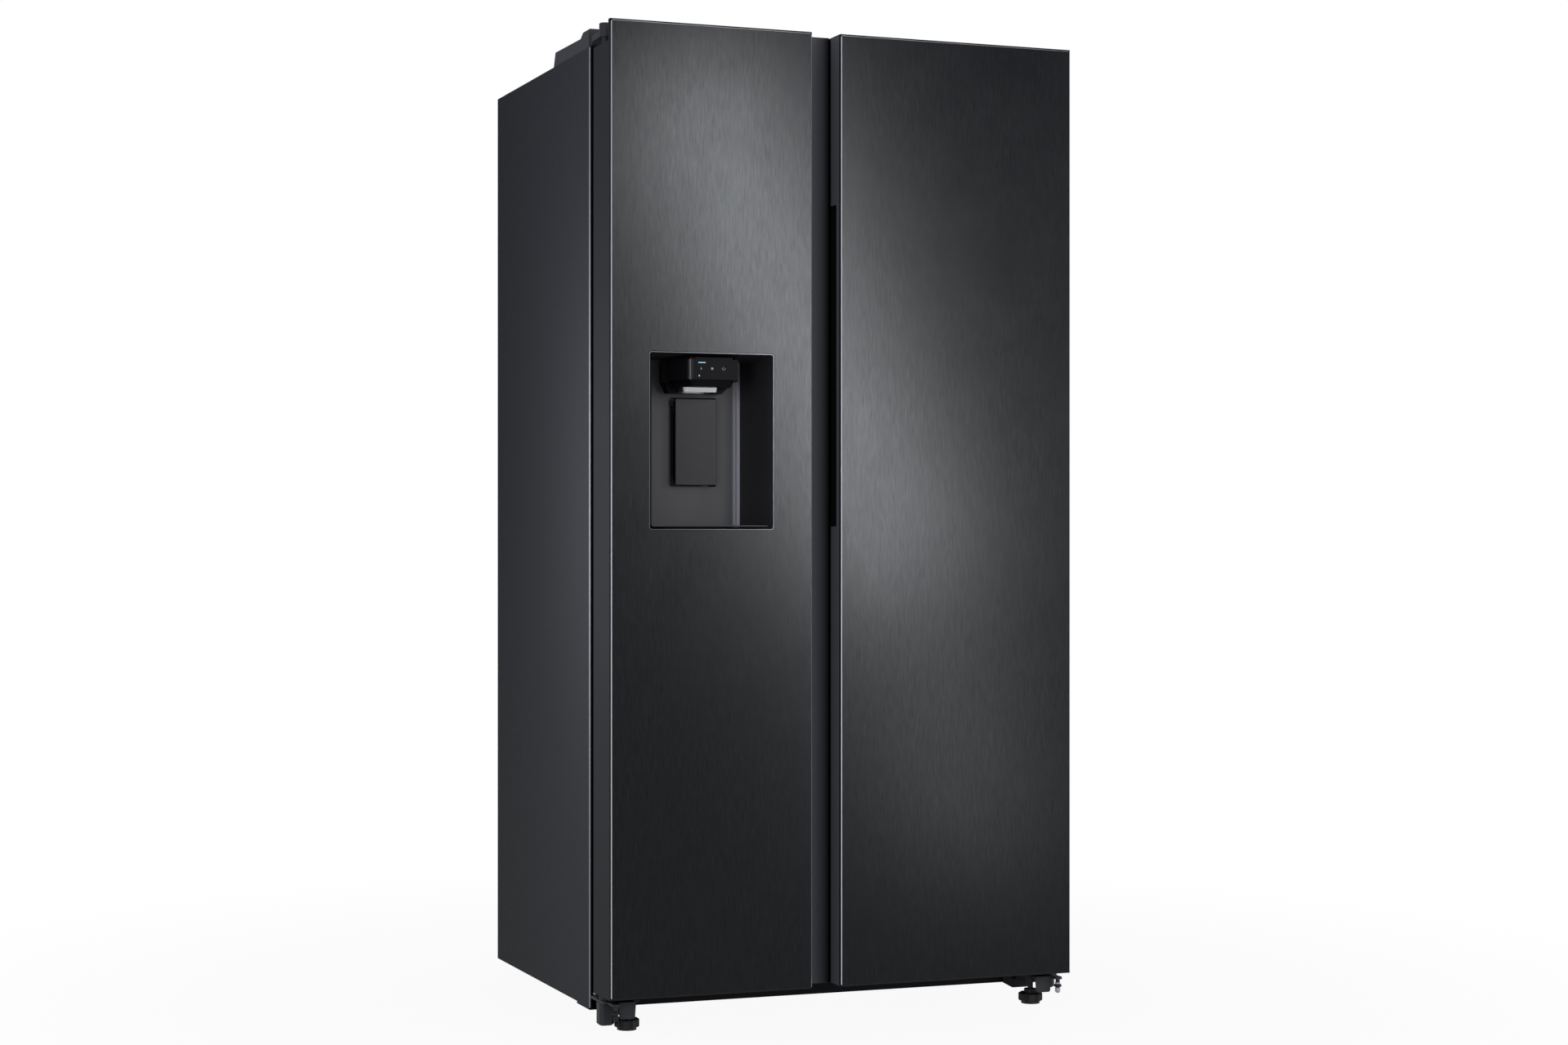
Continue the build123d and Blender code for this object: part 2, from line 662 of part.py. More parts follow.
def hinge_cover(side, name):
    """Hollow stepped cover over the hinge plate, with a mouth for the arm."""
    outer_x = side * (WIDTH / 2 - 1)
    inner_x = side * (WIDTH / 2 - 1 - COVER_WIDE)
    with BuildPart() as cover:
        with BuildSketch(Plane.YZ.offset(min(outer_x, inner_x))):
            Polygon(
                (FRONT + 125, CASE_TOP),
                (FRONT + 127, KNOB_TOP),
                (FRONT + 163, KNOB_TOP),
                (FRONT + 178, 1794),
                (FRONT + 331, 1796),
                (FRONT + 343, CASE_TOP),
                align=None,
            )
        extrude(amount=COVER_WIDE)
        fillet(cover.faces().sort_by(Axis.X)[0].edges().filter_by(
            lambda e: e.center().Z > CASE_TOP + 5), 3)
        fillet(cover.faces().sort_by(Axis.X)[-1].edges().filter_by(
            lambda e: e.center().Z > CASE_TOP + 5), 3)
        offset(amount=-COVER_WALL, openings=cover.faces().sort_by(Axis.Z)[0])
        arm_x = side * (WIDTH / 2 - HINGE_IN)
        mouth = (CASE_FRONT, CASE_FRONT + 14)
        block(grown((arm_x, arm_x), ARM_HALF + 0.6), mouth, (CASE_TOP - 1, ARM_Z[1] + 1), Mode.SUBTRACT)
    save(cover.part, name)


hinge_cover(-1, "hinge_cover_left")
hinge_cover(1, "hinge_cover_right")


def upper_hinge(side, name):
    """Plate bolted to the case top, with a raised arm, a door pin and an adjusting knob."""
    pin_x = side * (WIDTH / 2 - HINGE_IN)
    plate_x = sorted((side * (WIDTH / 2 - 8), side * (WIDTH / 2 - 88)))
    arm_x = grown((pin_x, pin_x), ARM_HALF)
    with BuildPart() as hinge:
        block(plate_x, (CASE_FRONT + 16, CASE_FRONT + 130), (CASE_TOP, CASE_TOP + 5))
        with BuildSketch(Plane.YZ.offset(arm_x[0])):
            Polygon(
                (HINGE_Y, ARM_Z[0]),
                (CASE_FRONT - 4, ARM_Z[0]),
                (CASE_FRONT + 8, CASE_TOP),
                (CASE_FRONT + 40, CASE_TOP),
                (CASE_FRONT + 40, CASE_TOP + 5),
                (CASE_FRONT + 26, CASE_TOP + 5),
                (CASE_FRONT + 12, ARM_Z[1]),
                (HINGE_Y, ARM_Z[1]),
                align=None,
            )
        extrude(amount=2 * ARM_HALF)
        rod((pin_x, HINGE_Y, ARM_Z[0]), (pin_x, HINGE_Y, ARM_Z[1]), KNOB_RADIUS)
        rod((pin_x, HINGE_Y, ARM_Z[1]), (pin_x, HINGE_Y, KNOB_TOP), KNOB_RADIUS)
        rod((pin_x, HINGE_Y, ARM_Z[0] - 34), (pin_x, HINGE_Y, ARM_Z[0]), PIN)
        knob = hinge.faces().sort_by(Axis.Z)[-1]
        chamfer(knob.edges(), 1)
        block(grown((pin_x, pin_x), 8), grown((HINGE_Y, HINGE_Y), 1.5), (KNOB_TOP - 2, KNOB_TOP + 1),
              Mode.SUBTRACT)
    save(hinge.part, name)


upper_hinge(-1, "upper_hinge_left")
upper_hinge(1, "upper_hinge_right")


def lower_hinge(side, barrel_low, name):
    """Bracket bolted to the apron: a plate with door pin, stop pin, foot hole and a turned-down tab."""
    edge = side * WIDTH / 2
    pin_x = edge - side * HINGE_IN
    foot_x = edge - side * FOOT_IN
    tab_x = edge - side * TAB_CENTRE
    stop_x = edge - side * STOP_IN
    plate_x = sorted((edge - side * 1.5, edge - side * BRACKET_WIDE))
    flange_top = GASKET_Z[0] - 4
    with BuildPart() as bracket:
        with BuildSketch(Plane.XY.offset(BRACKET_Z[0])) as plate:
            rect(plate_x, (BRACKET_FRONT, CASE_FRONT))
            rect(grown((tab_x, tab_x), TAB_WIDE / 2), (TAB_Y, HINGE_Y))
            rect(grown((stop_x, stop_x), STOP_HALF), (STOP_Y - STOP_HALF, HINGE_Y))
            corner = plate.vertices().sort_by_distance((edge - side * 1.5, BRACKET_FRONT))[0]
            fillet(corner, 6)
            fillet(plate.vertices().group_by(Axis.Y)[0], 6)
        extrude(amount=BRACKET_Z[1] - BRACKET_Z[0])
        with BuildSketch(looking_back(CASE_FRONT - 4)):
            Polygon(
                (edge - side * (FLANGE + 2), flange_top),
                (edge - side * (FLANGE + 2), FLANGE_LOW),
                (edge - side * FLANGE_SLANT[0], FLANGE_LOW),
                (edge - side * FLANGE_SLANT[1], CASE_BOTTOM),
                (edge - side * FLANGE_SLANT[1], flange_top),
                align=None,
            )
        extrude(amount=-4)
        with BuildSketch(looking_back(TAB_Y)) as tab:
            Polygon(
                (tab_x - TAB_WIDE / 2, BRACKET_Z[1]),
                (tab_x - TAB_WIDE / 2 + 2, TAB_BOTTOM),
                (tab_x + TAB_WIDE / 2 - 2, TAB_BOTTOM),
                (tab_x + TAB_WIDE / 2, BRACKET_Z[1]),
                align=None,
            )
            fillet(tab.vertices().group_by(Axis.Y)[0], 4)
        extrude(amount=-4)
        with BuildSketch(Plane.XY.offset(BRACKET_Z[0])) as barrel:
            with Locations((pin_x, HINGE_Y)):
                Rectangle(BARREL, BARREL)
            chamfer(barrel.vertices(), BARREL_CHAMFER)
        extrude(amount=barrel_low - BRACKET_Z[0])
        barrel_end = bracket.faces().sort_by_distance((pin_x, HINGE_Y, barrel_low))[0]
        chamfer(barrel_end.edges(), BARREL_CHAMFER / 2)
        rod((stop_x, STOP_Y, STOP_LOW), (stop_x, STOP_Y, BRACKET_Z[0]), STOP_PIN)
        rod((pin_x, HINGE_Y, BRACKET_Z[1]), (pin_x, HINGE_Y, DOOR_BOTTOM - 0.4), 11)
        rod((pin_x, HINGE_Y, BRACKET_Z[1]), (pin_x, HINGE_Y, DOOR_BOTTOM + 14), PIN)
        rod((foot_x, FOOT_Y, BRACKET_Z[0] - 10), (foot_x, FOOT_Y, BRACKET_Z[0]), 10)
        rod((foot_x, FOOT_Y, 0), (foot_x, FOOT_Y, DOOR_BOTTOM), STUD + PIN_CLEAR, Mode.SUBTRACT)
    save(bracket.part, name)


lower_hinge(-1, BARREL_LOW[0], "lower_hinge_left")
lower_hinge(1, BARREL_LOW[1], "lower_hinge_right")


def foot(side, name):
    """Levelling foot: a grooved knob over a round pad, on a stud that goes up through the bracket."""
    at = (side * (WIDTH / 2 - FOOT_IN), FOOT_Y)
    with BuildPart() as knob:
        with BuildSketch(Plane.XY.offset(FOOT_PAD_TALL)):
            with Locations(at):
                Circle(FOOT_RADIUS)
                with PolarLocations(FOOT_RADIUS, FOOT_LOBES):
                    Circle(FOOT_GROOVE, mode=Mode.SUBTRACT)
        extrude(amount=FOOT_TALL - FOOT_PAD_TALL)
        chamfer(knob.faces().filter_by(Axis.Z).edges(), FOOT_EDGE)
        rod((*at, 0), (*at, FOOT_PAD_TALL), FOOT_PAD)
        rod((*at, FOOT_TALL), (*at, FOOT_TALL + 7), FOOT_NECK)
        rod((*at, FOOT_TALL), (*at, BRACKET_Z[1] + 5), STUD)
    save(knob.part, name)


foot(-1, "foot_left")
foot(1, "foot_right")


def roller(side, name):
    """Rear transport roller on a fixed axle."""
    middle = side * ROLLER_X
    ends = [(middle + end * ROLLER_WIDE / 2, ROLLER_Y, ROLLER_RADIUS) for end in (-1, 1)]
    with BuildPart() as wheel:
        rod(*ends, ROLLER_RADIUS)
        chamfer(wheel.edges().filter_by(GeomType.CIRCLE), 1.5)
        rod(*ends, AXLE + PIN_CLEAR, Mode.SUBTRACT)
    save(wheel.part, name)


roller(-1, "roller_left")
roller(1, "roller_right")


def door_outline(hinge_x, face_x, meet_x, inset):
    """Plan of a door drawn in from its faces; the freezer door steps out behind the finger channel."""
    inward = inset if face_x > hinge_x else -inset
    points = [(hinge_x + inward, PAN_FRONT + inset), (face_x - inward, PAN_FRONT + inset)]
    if meet_x != face_x:
        points.append((face_x - inward, CHANNEL_FLOOR + inset))
        points.append((meet_x - inward, CHANNEL_FLOOR + inset))
    points.append((meet_x - inward, DOOR_BACK))
    points.append((hinge_x + inward, DOOR_BACK))
    return points


def hinge_recess(hinge_x, inner):
    """Limits of the pocket in the door's top corner that the hinge arm sweeps through."""
    ends = sorted((hinge_x - inner, hinge_x + RECESS_WIDE * inner))
    return (ends, (RECESS_FRONT, DOOR_BACK + 5), (RECESS_FLOOR, DOOR_TOP + 1))


def door_panel(hinge_x, face_x, window, name):
    """Front sheet with bevelled edges; the freezer's has a window for the dispenser."""
    across = grown(sorted((hinge_x, face_x)), -1)
    with BuildPart() as sheet:
        with BuildSketch(looking_back(FRONT)):
            with Locations((sum(across) / 2, (PANEL_TOP + PANEL_BOTTOM) / 2)):
                RectangleRounded(across[1] - across[0], PANEL_TOP - PANEL_BOTTOM, 3)
        extrude(amount=-PANEL_THICK)
        chamfer(sheet.faces().sort_by(Axis.Y)[0].edges(), PANEL_EDGE)
        if window:
            with BuildSketch(looking_back(FRONT)):
                with Locations((sum(RECESS_X) / 2, sum(RECESS_Z) / 2)):
                    RectangleRounded(
                        RECESS_X[1] - RECESS_X[0] + 2 * BEZEL,
                        RECESS_Z[1] - RECESS_Z[0] + 2 * BEZEL,
                        RECESS_CORNER + BEZEL,
                    )
            extrude(amount=-PANEL_THICK, mode=Mode.SUBTRACT)
    save(sheet.part, name)


door_panel(LEFT, FREEZER_FACE, True, "freezer_door_panel")
door_panel(RIGHT, FRIDGE_FACE, False, "fridge_door_panel")


def grip_limits(face_x, inner):
    """X limits of the handle cup's block behind the door's side skin."""
    return sorted((face_x + inner * SKIN, face_x + inner * (GRIP_DEPTH + GRIP_WALL)))


def grip_block(face_x, inner, mode=Mode.ADD):
    """Outer block of a handle cup."""
    depth = (FRONT + GRIP_HOOK - GRIP_WALL, FRONT + GRIP_REAR + GRIP_WALL)
    block(grip_limits(face_x, inner), depth, grown(GRIP_Z, GRIP_WALL), mode)


def handle_cup(face_x, inner, name):
    """Moulded pocket for the fingers, hooked forward behind the door's side."""
    with BuildPart() as cup:
        grip_block(face_x, inner)
        with BuildSketch(Plane.XY.offset(GRIP_Z[0])):
            Polygon(
                (face_x - inner, FRONT + GRIP_FRONT),
                (face_x + inner * 6, FRONT + GRIP_FRONT),
                (face_x + inner * 11, FRONT + GRIP_HOOK),
                (face_x + inner * GRIP_DEPTH, FRONT + GRIP_HOOK + 3),
                (face_x + inner * GRIP_DEPTH, FRONT + GRIP_REAR - 10),
                (face_x + inner * (GRIP_DEPTH - 10), FRONT + GRIP_REAR),
                (face_x - inner, FRONT + GRIP_REAR),
                align=None,
            )
        extrude(amount=GRIP_Z[1] - GRIP_Z[0], mode=Mode.SUBTRACT)
    save(cup.part, name)


handle_cup(FREEZER_FACE, -1, "freezer_handle_cup")
handle_cup(FRIDGE_FACE, 1, "fridge_handle_cup")


def tub_loft(margin, front, mode=Mode.ADD):
    """Tapered dispenser recess grown by a margin, from a front depth to its back wall."""
    with BuildSketch(looking_back(front)) as mouth:
        with Locations((sum(RECESS_X) / 2, sum(RECESS_Z) / 2)):
            RectangleRounded(
                RECESS_X[1] - RECESS_X[0] + 2 * margin,
                RECESS_Z[1] - RECESS_Z[0] + 2 * margin,
                RECESS_CORNER + margin,
            )
    with BuildSketch(looking_back(FRONT + RECESS_DEPTH + margin)) as back:
        with Locations((sum(RECESS_BACK_X) / 2, sum(RECESS_BACK_Z) / 2)):
            RectangleRounded(
                RECESS_BACK_X[1] - RECESS_BACK_X[0] + 2 * margin,
                RECESS_BACK_Z[1] - RECESS_BACK_Z[0] + 2 * margin,
                RECESS_BACK_CORNER + margin,
            )
    loft(sections=[mouth.sketch, back.sketch], mode=mode)


def slot_block(margin, mode=Mode.ADD):
    """Pocket behind the paddle that it swings back into."""
    depth = (FRONT + RECESS_DEPTH - 6, SLOT_BACK + margin)
    block(grown(SLOT_X, margin), depth, grown(SLOT_Z, margin), mode)


def chute_loft(margin, mode=Mode.ADD):
    """Sloping ice chute from the bucket's floor down to the spout."""
    middle = sum(SPOUT_X) / 2
    with BuildSketch(Plane.XY.offset(SPOUT_Z[1])) as low:
        with Locations((middle, CHUTE_Y)):
            RectangleRounded(CHUTE_MOUTH[0] + 2 * margin, CHUTE_MOUTH[1] + 2 * margin, CHUTE_ROUND)
    with BuildSketch(Plane.XY.offset(BUCKET_Z[0])) as high:
        with Locations((middle, DOOR_BACK + CHUTE_HEAD[1])):
            RectangleRounded(CHUTE_HEAD[0] + 2 * margin, CHUTE_HEAD[1] + 2 * margin, CHUTE_ROUND)
    loft(sections=[low.sketch, high.sketch], mode=mode)


def door_shell(hinge_x, face_x, meet_x, window, name):
    """Folded steel pan behind the front sheet, cut for the hinge arm, the handle and the dispenser."""
    inner = 1 if face_x > hinge_x else -1
    with BuildPart() as pan:
        with BuildSketch(Plane.XY.offset(DOOR_BOTTOM + CAP_LIP)):
            Polygon(*door_outline(hinge_x, face_x, meet_x, 0), align=None)
            Polygon(*door_outline(hinge_x, face_x, meet_x, SKIN), align=None, mode=Mode.SUBTRACT)
        extrude(amount=DOOR_TOP - DOOR_BOTTOM - 2 * CAP_LIP)
        block(*hinge_recess(hinge_x, inner), Mode.SUBTRACT)
        mouth = grown((face_x, face_x), 2 * SKIN)
        block(mouth, (FRONT + GRIP_FRONT, FRONT + GRIP_REAR), GRIP_Z, Mode.SUBTRACT)
        if window:
            opening = (FRONT, FRONT + PANEL_THICK + 2 * SKIN)
            tub = grown(RECESS_X, TUB_WALL)
            block(tub, opening, grown(RECESS_Z, TUB_WALL), Mode.SUBTRACT)
    save(pan.part, name)


door_shell(LEFT, FREEZER_FACE, FREEZER_MEET, True, "freezer_door_shell")
door_shell(RIGHT, FRIDGE_FACE, FRIDGE_FACE, False, "fridge_door_shell")


def door_core(hinge_x, face_x, meet_x, window, name):
    """Foam filling of a door, cut for the handle cup, the hinge pin and the dispenser."""
    inner = 1 if face_x > hinge_x else -1
    low = DOOR_BOTTOM + BOTTOM_CAP
    high = DOOR_TOP - TOP_CAP
    with BuildPart() as core:
        with BuildSketch(Plane.XY.offset(low)):
            Polygon(*door_outline(hinge_x, face_x, meet_x, SKIN), align=None)
        extrude(amount=high - low)
        if window:
            block(BULGE_X, (DOOR_BACK - 1, BULGE_BACK), BULGE_Z)
            mouth = (PAN_FRONT, FRONT + BEZEL_DEEP)
            block(grown(RECESS_X, TUB_WALL), mouth, grown(RECESS_Z, TUB_WALL), Mode.SUBTRACT)
            tub_loft(TUB_WALL, FRONT + BEZEL_DEEP, Mode.SUBTRACT)
            slot_block(TUB_WALL, Mode.SUBTRACT)
            chute_loft(CHUTE_WALL, Mode.SUBTRACT)
        grip_block(face_x, -inner, Mode.SUBTRACT)
        pin_x = hinge_x + inner * HINGE_IN
        rod((pin_x, HINGE_Y, high - 20), (pin_x, HINGE_Y, high), PIN + 2, Mode.SUBTRACT)
    save(core.part, name)


door_core(LEFT, FREEZER_FACE, FREEZER_MEET, True, "freezer_door_core")
door_core(RIGHT, FRIDGE_FACE, FRIDGE_FACE, False, "fridge_door_core")


def door_caps(hinge_x, face_x, meet_x, name):
    """Moulded top and bottom caps with lips over the pan's edges and holes for the hinge pins."""
    inner = 1 if face_x > hinge_x else -1
    pin_x = hinge_x + inner * HINGE_IN
    with BuildPart() as caps:
        with BuildSketch(Plane.XY.offset(DOOR_TOP - TOP_CAP), Plane.XY.offset(DOOR_BOTTOM + CAP_LIP)):
            Polygon(*door_outline(hinge_x, face_x, meet_x, SKIN), align=None)
        extrude(amount=BOTTOM_CAP - CAP_LIP)
        with BuildSketch(Plane.XY.offset(DOOR_TOP - TOP_CAP)):
            Polygon(*door_outline(hinge_x, face_x, meet_x, SKIN), align=None)
        extrude(amount=TOP_CAP - CAP_LIP)
        with BuildSketch(Plane.XY.offset(DOOR_TOP - CAP_LIP), Plane.XY.offset(DOOR_BOTTOM)):
            Polygon(*door_outline(hinge_x, face_x, meet_x, 0), align=None)
        extrude(amount=CAP_LIP)
        block(*hinge_recess(hinge_x, inner), Mode.SUBTRACT)
        for z in (DOOR_BOTTOM, DOOR_TOP - TOP_CAP):
            rod((pin_x, HINGE_Y, z), (pin_x, HINGE_Y, z + BOTTOM_CAP), PIN + PIN_CLEAR, Mode.SUBTRACT)
    save(caps.part, name)


door_caps(LEFT, FREEZER_FACE, FREEZER_MEET, "freezer_door_caps")
door_caps(RIGHT, FRIDGE_FACE, FRIDGE_FACE, "fridge_door_caps")


def door_liner(across, dyke, window, name):
    """Inner door skin, the rim bars that hold the bins, and the freezer's cover behind the dispenser."""
    depth = (DOOR_BACK + LINER, DOOR_BACK + DYKE_DEPTH)
    uprights = [(x, DYKE_Z) for x in ((dyke[0], dyke[0] + DYKE_WALL), (dyke[1] - DYKE_WALL, dyke[1]))]
    between = grown(dyke, -DYKE_WALL)
    levels = ((DYKE_Z[0], DYKE_Z[0] + DYKE_WALL), (DYKE_Z[1] - DYKE_WALL, DYKE_Z[1]))
    crossbars = [(between, z) for z in levels]
    with BuildPart() as skin:
        block(across, (DOOR_BACK, DOOR_BACK + LINER), DOOR_LINER_Z)
        if window:
            block(BULGE_X, (DOOR_BACK, DOOR_BACK + LINER), BULGE_Z, Mode.SUBTRACT)
            chute_loft(CHUTE_WALL, Mode.SUBTRACT)
    pieces = [skin.part]
    for x, z in uprights + crossbars:
        with BuildPart() as bar:
            block(x, depth, z)
            chamfer(bar.faces().sort_by(Axis.Y)[-1].edges(), DYKE_EDGE)
        pieces.append(bar.part)
    if window:
        with BuildPart() as bulge:
            block(grown(BULGE_X, LINER), (DOOR_BACK + LINER, BULGE_BACK + LINER), grown(BULGE_Z, LINER))
            block(BULGE_X, (DOOR_BACK + LINER, BULGE_BACK), BULGE_Z, Mode.SUBTRACT)
            chute_loft(CHUTE_WALL, Mode.SUBTRACT)
        pieces.append(bulge.part)
    save(Compound(children=pieces), name)


door_liner(grown((LEFT, FREEZER_MEET), -SKIN), FREEZER_DYKE, True, "freezer_door_liner")
door_liner(grown((FRIDGE_FACE, RIGHT), -SKIN), FRIDGE_DYKE, False, "fridge_door_liner")


def gasket(across, name):
    """Magnetic seal: a narrow neck on the door liner and a wide head against the case front."""
    with BuildPart() as seal:
        shoulder = (GASKET_BACK + DOOR_BACK + LINER) / 2
        side = (GASKET_WIDTH - GASKET_NECK) / 2
        with BuildSketch(looking_back(DOOR_BACK + LINER)):
            rect(grown(across, -side), grown(GASKET_Z, -side))
            inner = GASKET_NECK + side
            rect(grown(across, -inner), grown(GASKET_Z, -inner), mode=Mode.SUBTRACT)
        extrude(amount=-(shoulder - DOOR_BACK - LINER))
        with BuildSketch(looking_back(shoulder)):
            rect(across, GASKET_Z)
            rect(grown(across, -GASKET_WIDTH), grown(GASKET_Z, -GASKET_WIDTH), mode=Mode.SUBTRACT)
        extrude(amount=-(GASKET_BACK - shoulder))
    save(seal.part, name)


gasket(FREEZER_GASKET, "freezer_door_gasket")
gasket(FRIDGE_GASKET, "fridge_door_gasket")


def door_bins(dyke, levels, name):
    """Open-topped bins between the door liner's raised sides."""
    across = grown(dyke, -DYKE_WALL - 2)
    inside = grown(across, -BIN_WALL)
    near = DOOR_BACK + LINER + 1
    foot_y = BIN_REAR - BIN_LEAN
    with BuildPart() as bins:
        for level in levels:
            top = level + BIN_HEIGHT
            with BuildSketch(Plane.YZ.offset(across[0])):
                Polygon((near, level), (foot_y, level), (BIN_REAR, top), (near, top), align=None)
            extrude(amount=across[1] - across[0])
            block(across, (BIN_REAR - 5, BIN_REAR + 2), (top - 12, top))
            with BuildSketch(Plane.YZ.offset(inside[0])):
                Polygon(
                    (near + BIN_WALL, level + BIN_WALL),
                    (foot_y - BIN_WALL, level + BIN_WALL),
                    (BIN_REAR - BIN_WALL, top + 1),
                    (near + BIN_WALL, top + 1),
                    align=None,
                )
            extrude(amount=inside[1] - inside[0], mode=Mode.SUBTRACT)
    save(bins.part, name)


door_bins(FREEZER_DYKE, (170, 400, 630), "freezer_door_bins")
door_bins(FRIDGE_DYKE, (180, 500, 820, 1140, 1440), "fridge_door_bins")

# Dispenser recess with a raised back plate, the paddle's pocket and its bearings
with BuildPart() as dispenser_housing:
    tub_loft(TUB_WALL, FRONT + BEZEL_DEEP)
    slot_block(TUB_WALL)
    tub_loft(0, FRONT + BEZEL_DEEP, Mode.SUBTRACT)
    with BuildSketch(Plane.XY.offset(RECESS_BACK_Z[0] - 1)) as plate:
        rect(BACK_PLATE_X, (BACK_PLATE_FRONT, FRONT + RECESS_DEPTH))
        fillet(plate.vertices().group_by(Axis.Y)[0], BACK_PLATE_ROUND)
    extrude(amount=RECESS_BACK_Z[1] - RECESS_BACK_Z[0] + 2)
    slot_block(0, Mode.SUBTRACT)
    ear_y = (PADDLE_AXIS[0] - EAR_HALF, SLOT_BACK)
    ear_z = grown((PADDLE_AXIS[1],) * 2, EAR_HALF)
    block((SLOT_X[0], SLOT_X[0] + EAR_WIDE), ear_y, ear_z)
    block((SLOT_X[1] - EAR_WIDE, SLOT_X[1]), ear_y, ear_z)
    rod(
        (SLOT_X[0], *PADDLE_AXIS), (SLOT_X[1], *PADDLE_AXIS), PADDLE_PIN + PIN_CLEAR, Mode.SUBTRACT
    )
    chute_loft(CHUTE_WALL, Mode.SUBTRACT)
save(dispenser_housing.part, "dispenser_housing")

# Bright frame round the recess mouth
with BuildPart() as dispenser_bezel:
    with BuildSketch(looking_back(FRONT)):
        with Locations((sum(RECESS_X) / 2, sum(RECESS_Z) / 2)):
            wide = RECESS_X[1] - RECESS_X[0]
            tall = RECESS_Z[1] - RECESS_Z[0]
            RectangleRounded(wide + 2 * BEZEL - 0.4, tall + 2 * BEZEL - 0.4, RECESS_CORNER + BEZEL - 0.2)
            RectangleRounded(wide, tall, RECESS_CORNER, mode=Mode.SUBTRACT)
    extrude(amount=-BEZEL_DEEP)
    chamfer(dispenser_bezel.faces().sort_by(Axis.Y)[0].outer_wire().edges(), 0.8)
save(dispenser_bezel.part, "dispenser_bezel")



def head_plan(inset):
    """Outline of the control head seen from above: a wedge with a rounded front that widens to the back."""
    with BuildSketch() as plan:
        Polygon(
            (HEAD_MID - HEAD_NARROW + inset, HEAD_FRONT + inset),
            (HEAD_MID + HEAD_NARROW - inset, HEAD_FRONT + inset),
            (HEAD_MID + HEAD_WIDE - inset, HEAD_SHOULDER),
            (HEAD_MID + HEAD_WIDE - inset, HEAD_REAR),
            (HEAD_MID - HEAD_WIDE + inset, HEAD_REAR),
            (HEAD_MID - HEAD_WIDE + inset, HEAD_SHOULDER),
            align=None,
        )
        corners = plan.vertices().group_by(Axis.Y)[0].sort_by(Axis.X)
        for corner, radius in zip(corners, HEAD_CORNERS):
            fillet(corner, radius)
    return plan.sketch


# Control head: the wedge, a collar over it, a lower lip and a hood on the back plate
head_outline = head_plan(0)
collar_outline = head_plan(COLLAR_INSET)
with BuildPart() as dispenser_head:
    extrude(Plane.XY.offset(HEAD_Z[0]) * head_outline, amount=HEAD_Z[1] - HEAD_Z[0])
    extrude(Plane.XY.offset(HEAD_Z[1]) * collar_outline, amount=COLLAR_TOP - HEAD_Z[1])
    block(RECESS_X, (HEAD_REAR - HOOD_DEEP, HEAD_REAR), (HEAD_Z[1], COLLAR_TOP), Mode.SUBTRACT)
    with BuildSketch(Plane.XY.offset(HEAD_Z[0])) as lip:
        Polygon(
            (HEAD_MID - HEAD_NARROW + 5, HEAD_FRONT + 5),
            (HEAD_MID + HEAD_NARROW - 5, HEAD_FRONT + 5),
            (HEAD_MID + HEAD_WIDE - 10, HEAD_REAR - HOOD_DEEP),
            (HEAD_MID - HEAD_WIDE + 10, HEAD_REAR - HOOD_DEEP),
            align=None,
        )
        fillet(lip.vertices().group_by(Axis.Y)[0], HEAD_CORNERS[0])
    extrude(amount=-LIP_DROP, taper=20)
    with BuildSketch(looking_back(HEAD_REAR)):
        Polygon(
            (HOOD_X[0], HEAD_Z[1]),
            (HOOD_X[0], HEAD_Z[0]),
            (HOOD_X[0] + 11, HOOD_BOTTOM),
            (HOOD_X[1] - 8, HOOD_BOTTOM),
            (HOOD_X[1], HOOD_BOTTOM + 8),
            (HOOD_X[1], HEAD_Z[1]),
            align=None,
        )
    extrude(amount=HOOD_DEEP)
    chute_loft(CHUTE_WALL, Mode.SUBTRACT)
    block(SPOUT_X, SPOUT_Y, (HOOD_BOTTOM - 1, SPOUT_Z[1]), Mode.SUBTRACT)
save(dispenser_head.part, "dispenser_head")

# Spout with the ice chute that rises from it to the bucket
with BuildPart() as dispenser_spout:
    with BuildSketch(Plane.XY.offset(SPOUT_Z[1])) as ring:
        rect(SPOUT_X, SPOUT_Y)
        fillet(ring.vertices(), 6)
    extrude(amount=SPOUT_Z[0] - SPOUT_Z[1], taper=14)
    chute_loft(CHUTE_WALL)
    chute_loft(0, Mode.SUBTRACT)
    with BuildSketch(Plane.XY.offset(SPOUT_Z[0] - 1)):
        with Locations((sum(SPOUT_X) / 2, CHUTE_Y)):
            RectangleRounded(*CHUTE_MOUTH, CHUTE_ROUND)
    extrude(amount=SPOUT_Z[1] - SPOUT_Z[0] + 1, mode=Mode.SUBTRACT)
save(dispenser_spout.part, "dispenser_spout")

# Dispenser paddle, hung from a pin behind its top edge
with BuildPart() as dispenser_paddle:
    with BuildSketch(looking_back(PADDLE_FRONT)) as face:
        rect(PADDLE_X, PADDLE_Z)
        fillet(face.vertices(), 3)
    extrude(amount=-PADDLE_THICK)
    chamfer(dispenser_paddle.faces().sort_by(Axis.Y)[0].edges(), 0.8)
    plate_back = PADDLE_FRONT + PADDLE_THICK - 1
    lug_z = grown((PADDLE_AXIS[1],) * 2, EAR_HALF)
    rib_z = (PADDLE_Z[0] + 8, PADDLE_Z[1] - 24)
    for end, inward in ((PADDLE_X[0], 1), (PADDLE_X[1], -1)):
        block(sorted((end + inward * 6, end + inward * 12)), (plate_back, PADDLE_AXIS[0] + 4), lug_z)
        block(sorted((end, end + inward * 5)), (plate_back, PADDLE_FRONT + 12), rib_z)
    rod((SLOT_X[0] + 0.5, *PADDLE_AXIS), (SLOT_X[1] - 0.5, *PADDLE_AXIS), PADDLE_PIN)
save(dispenser_paddle.part, "dispenser_paddle")

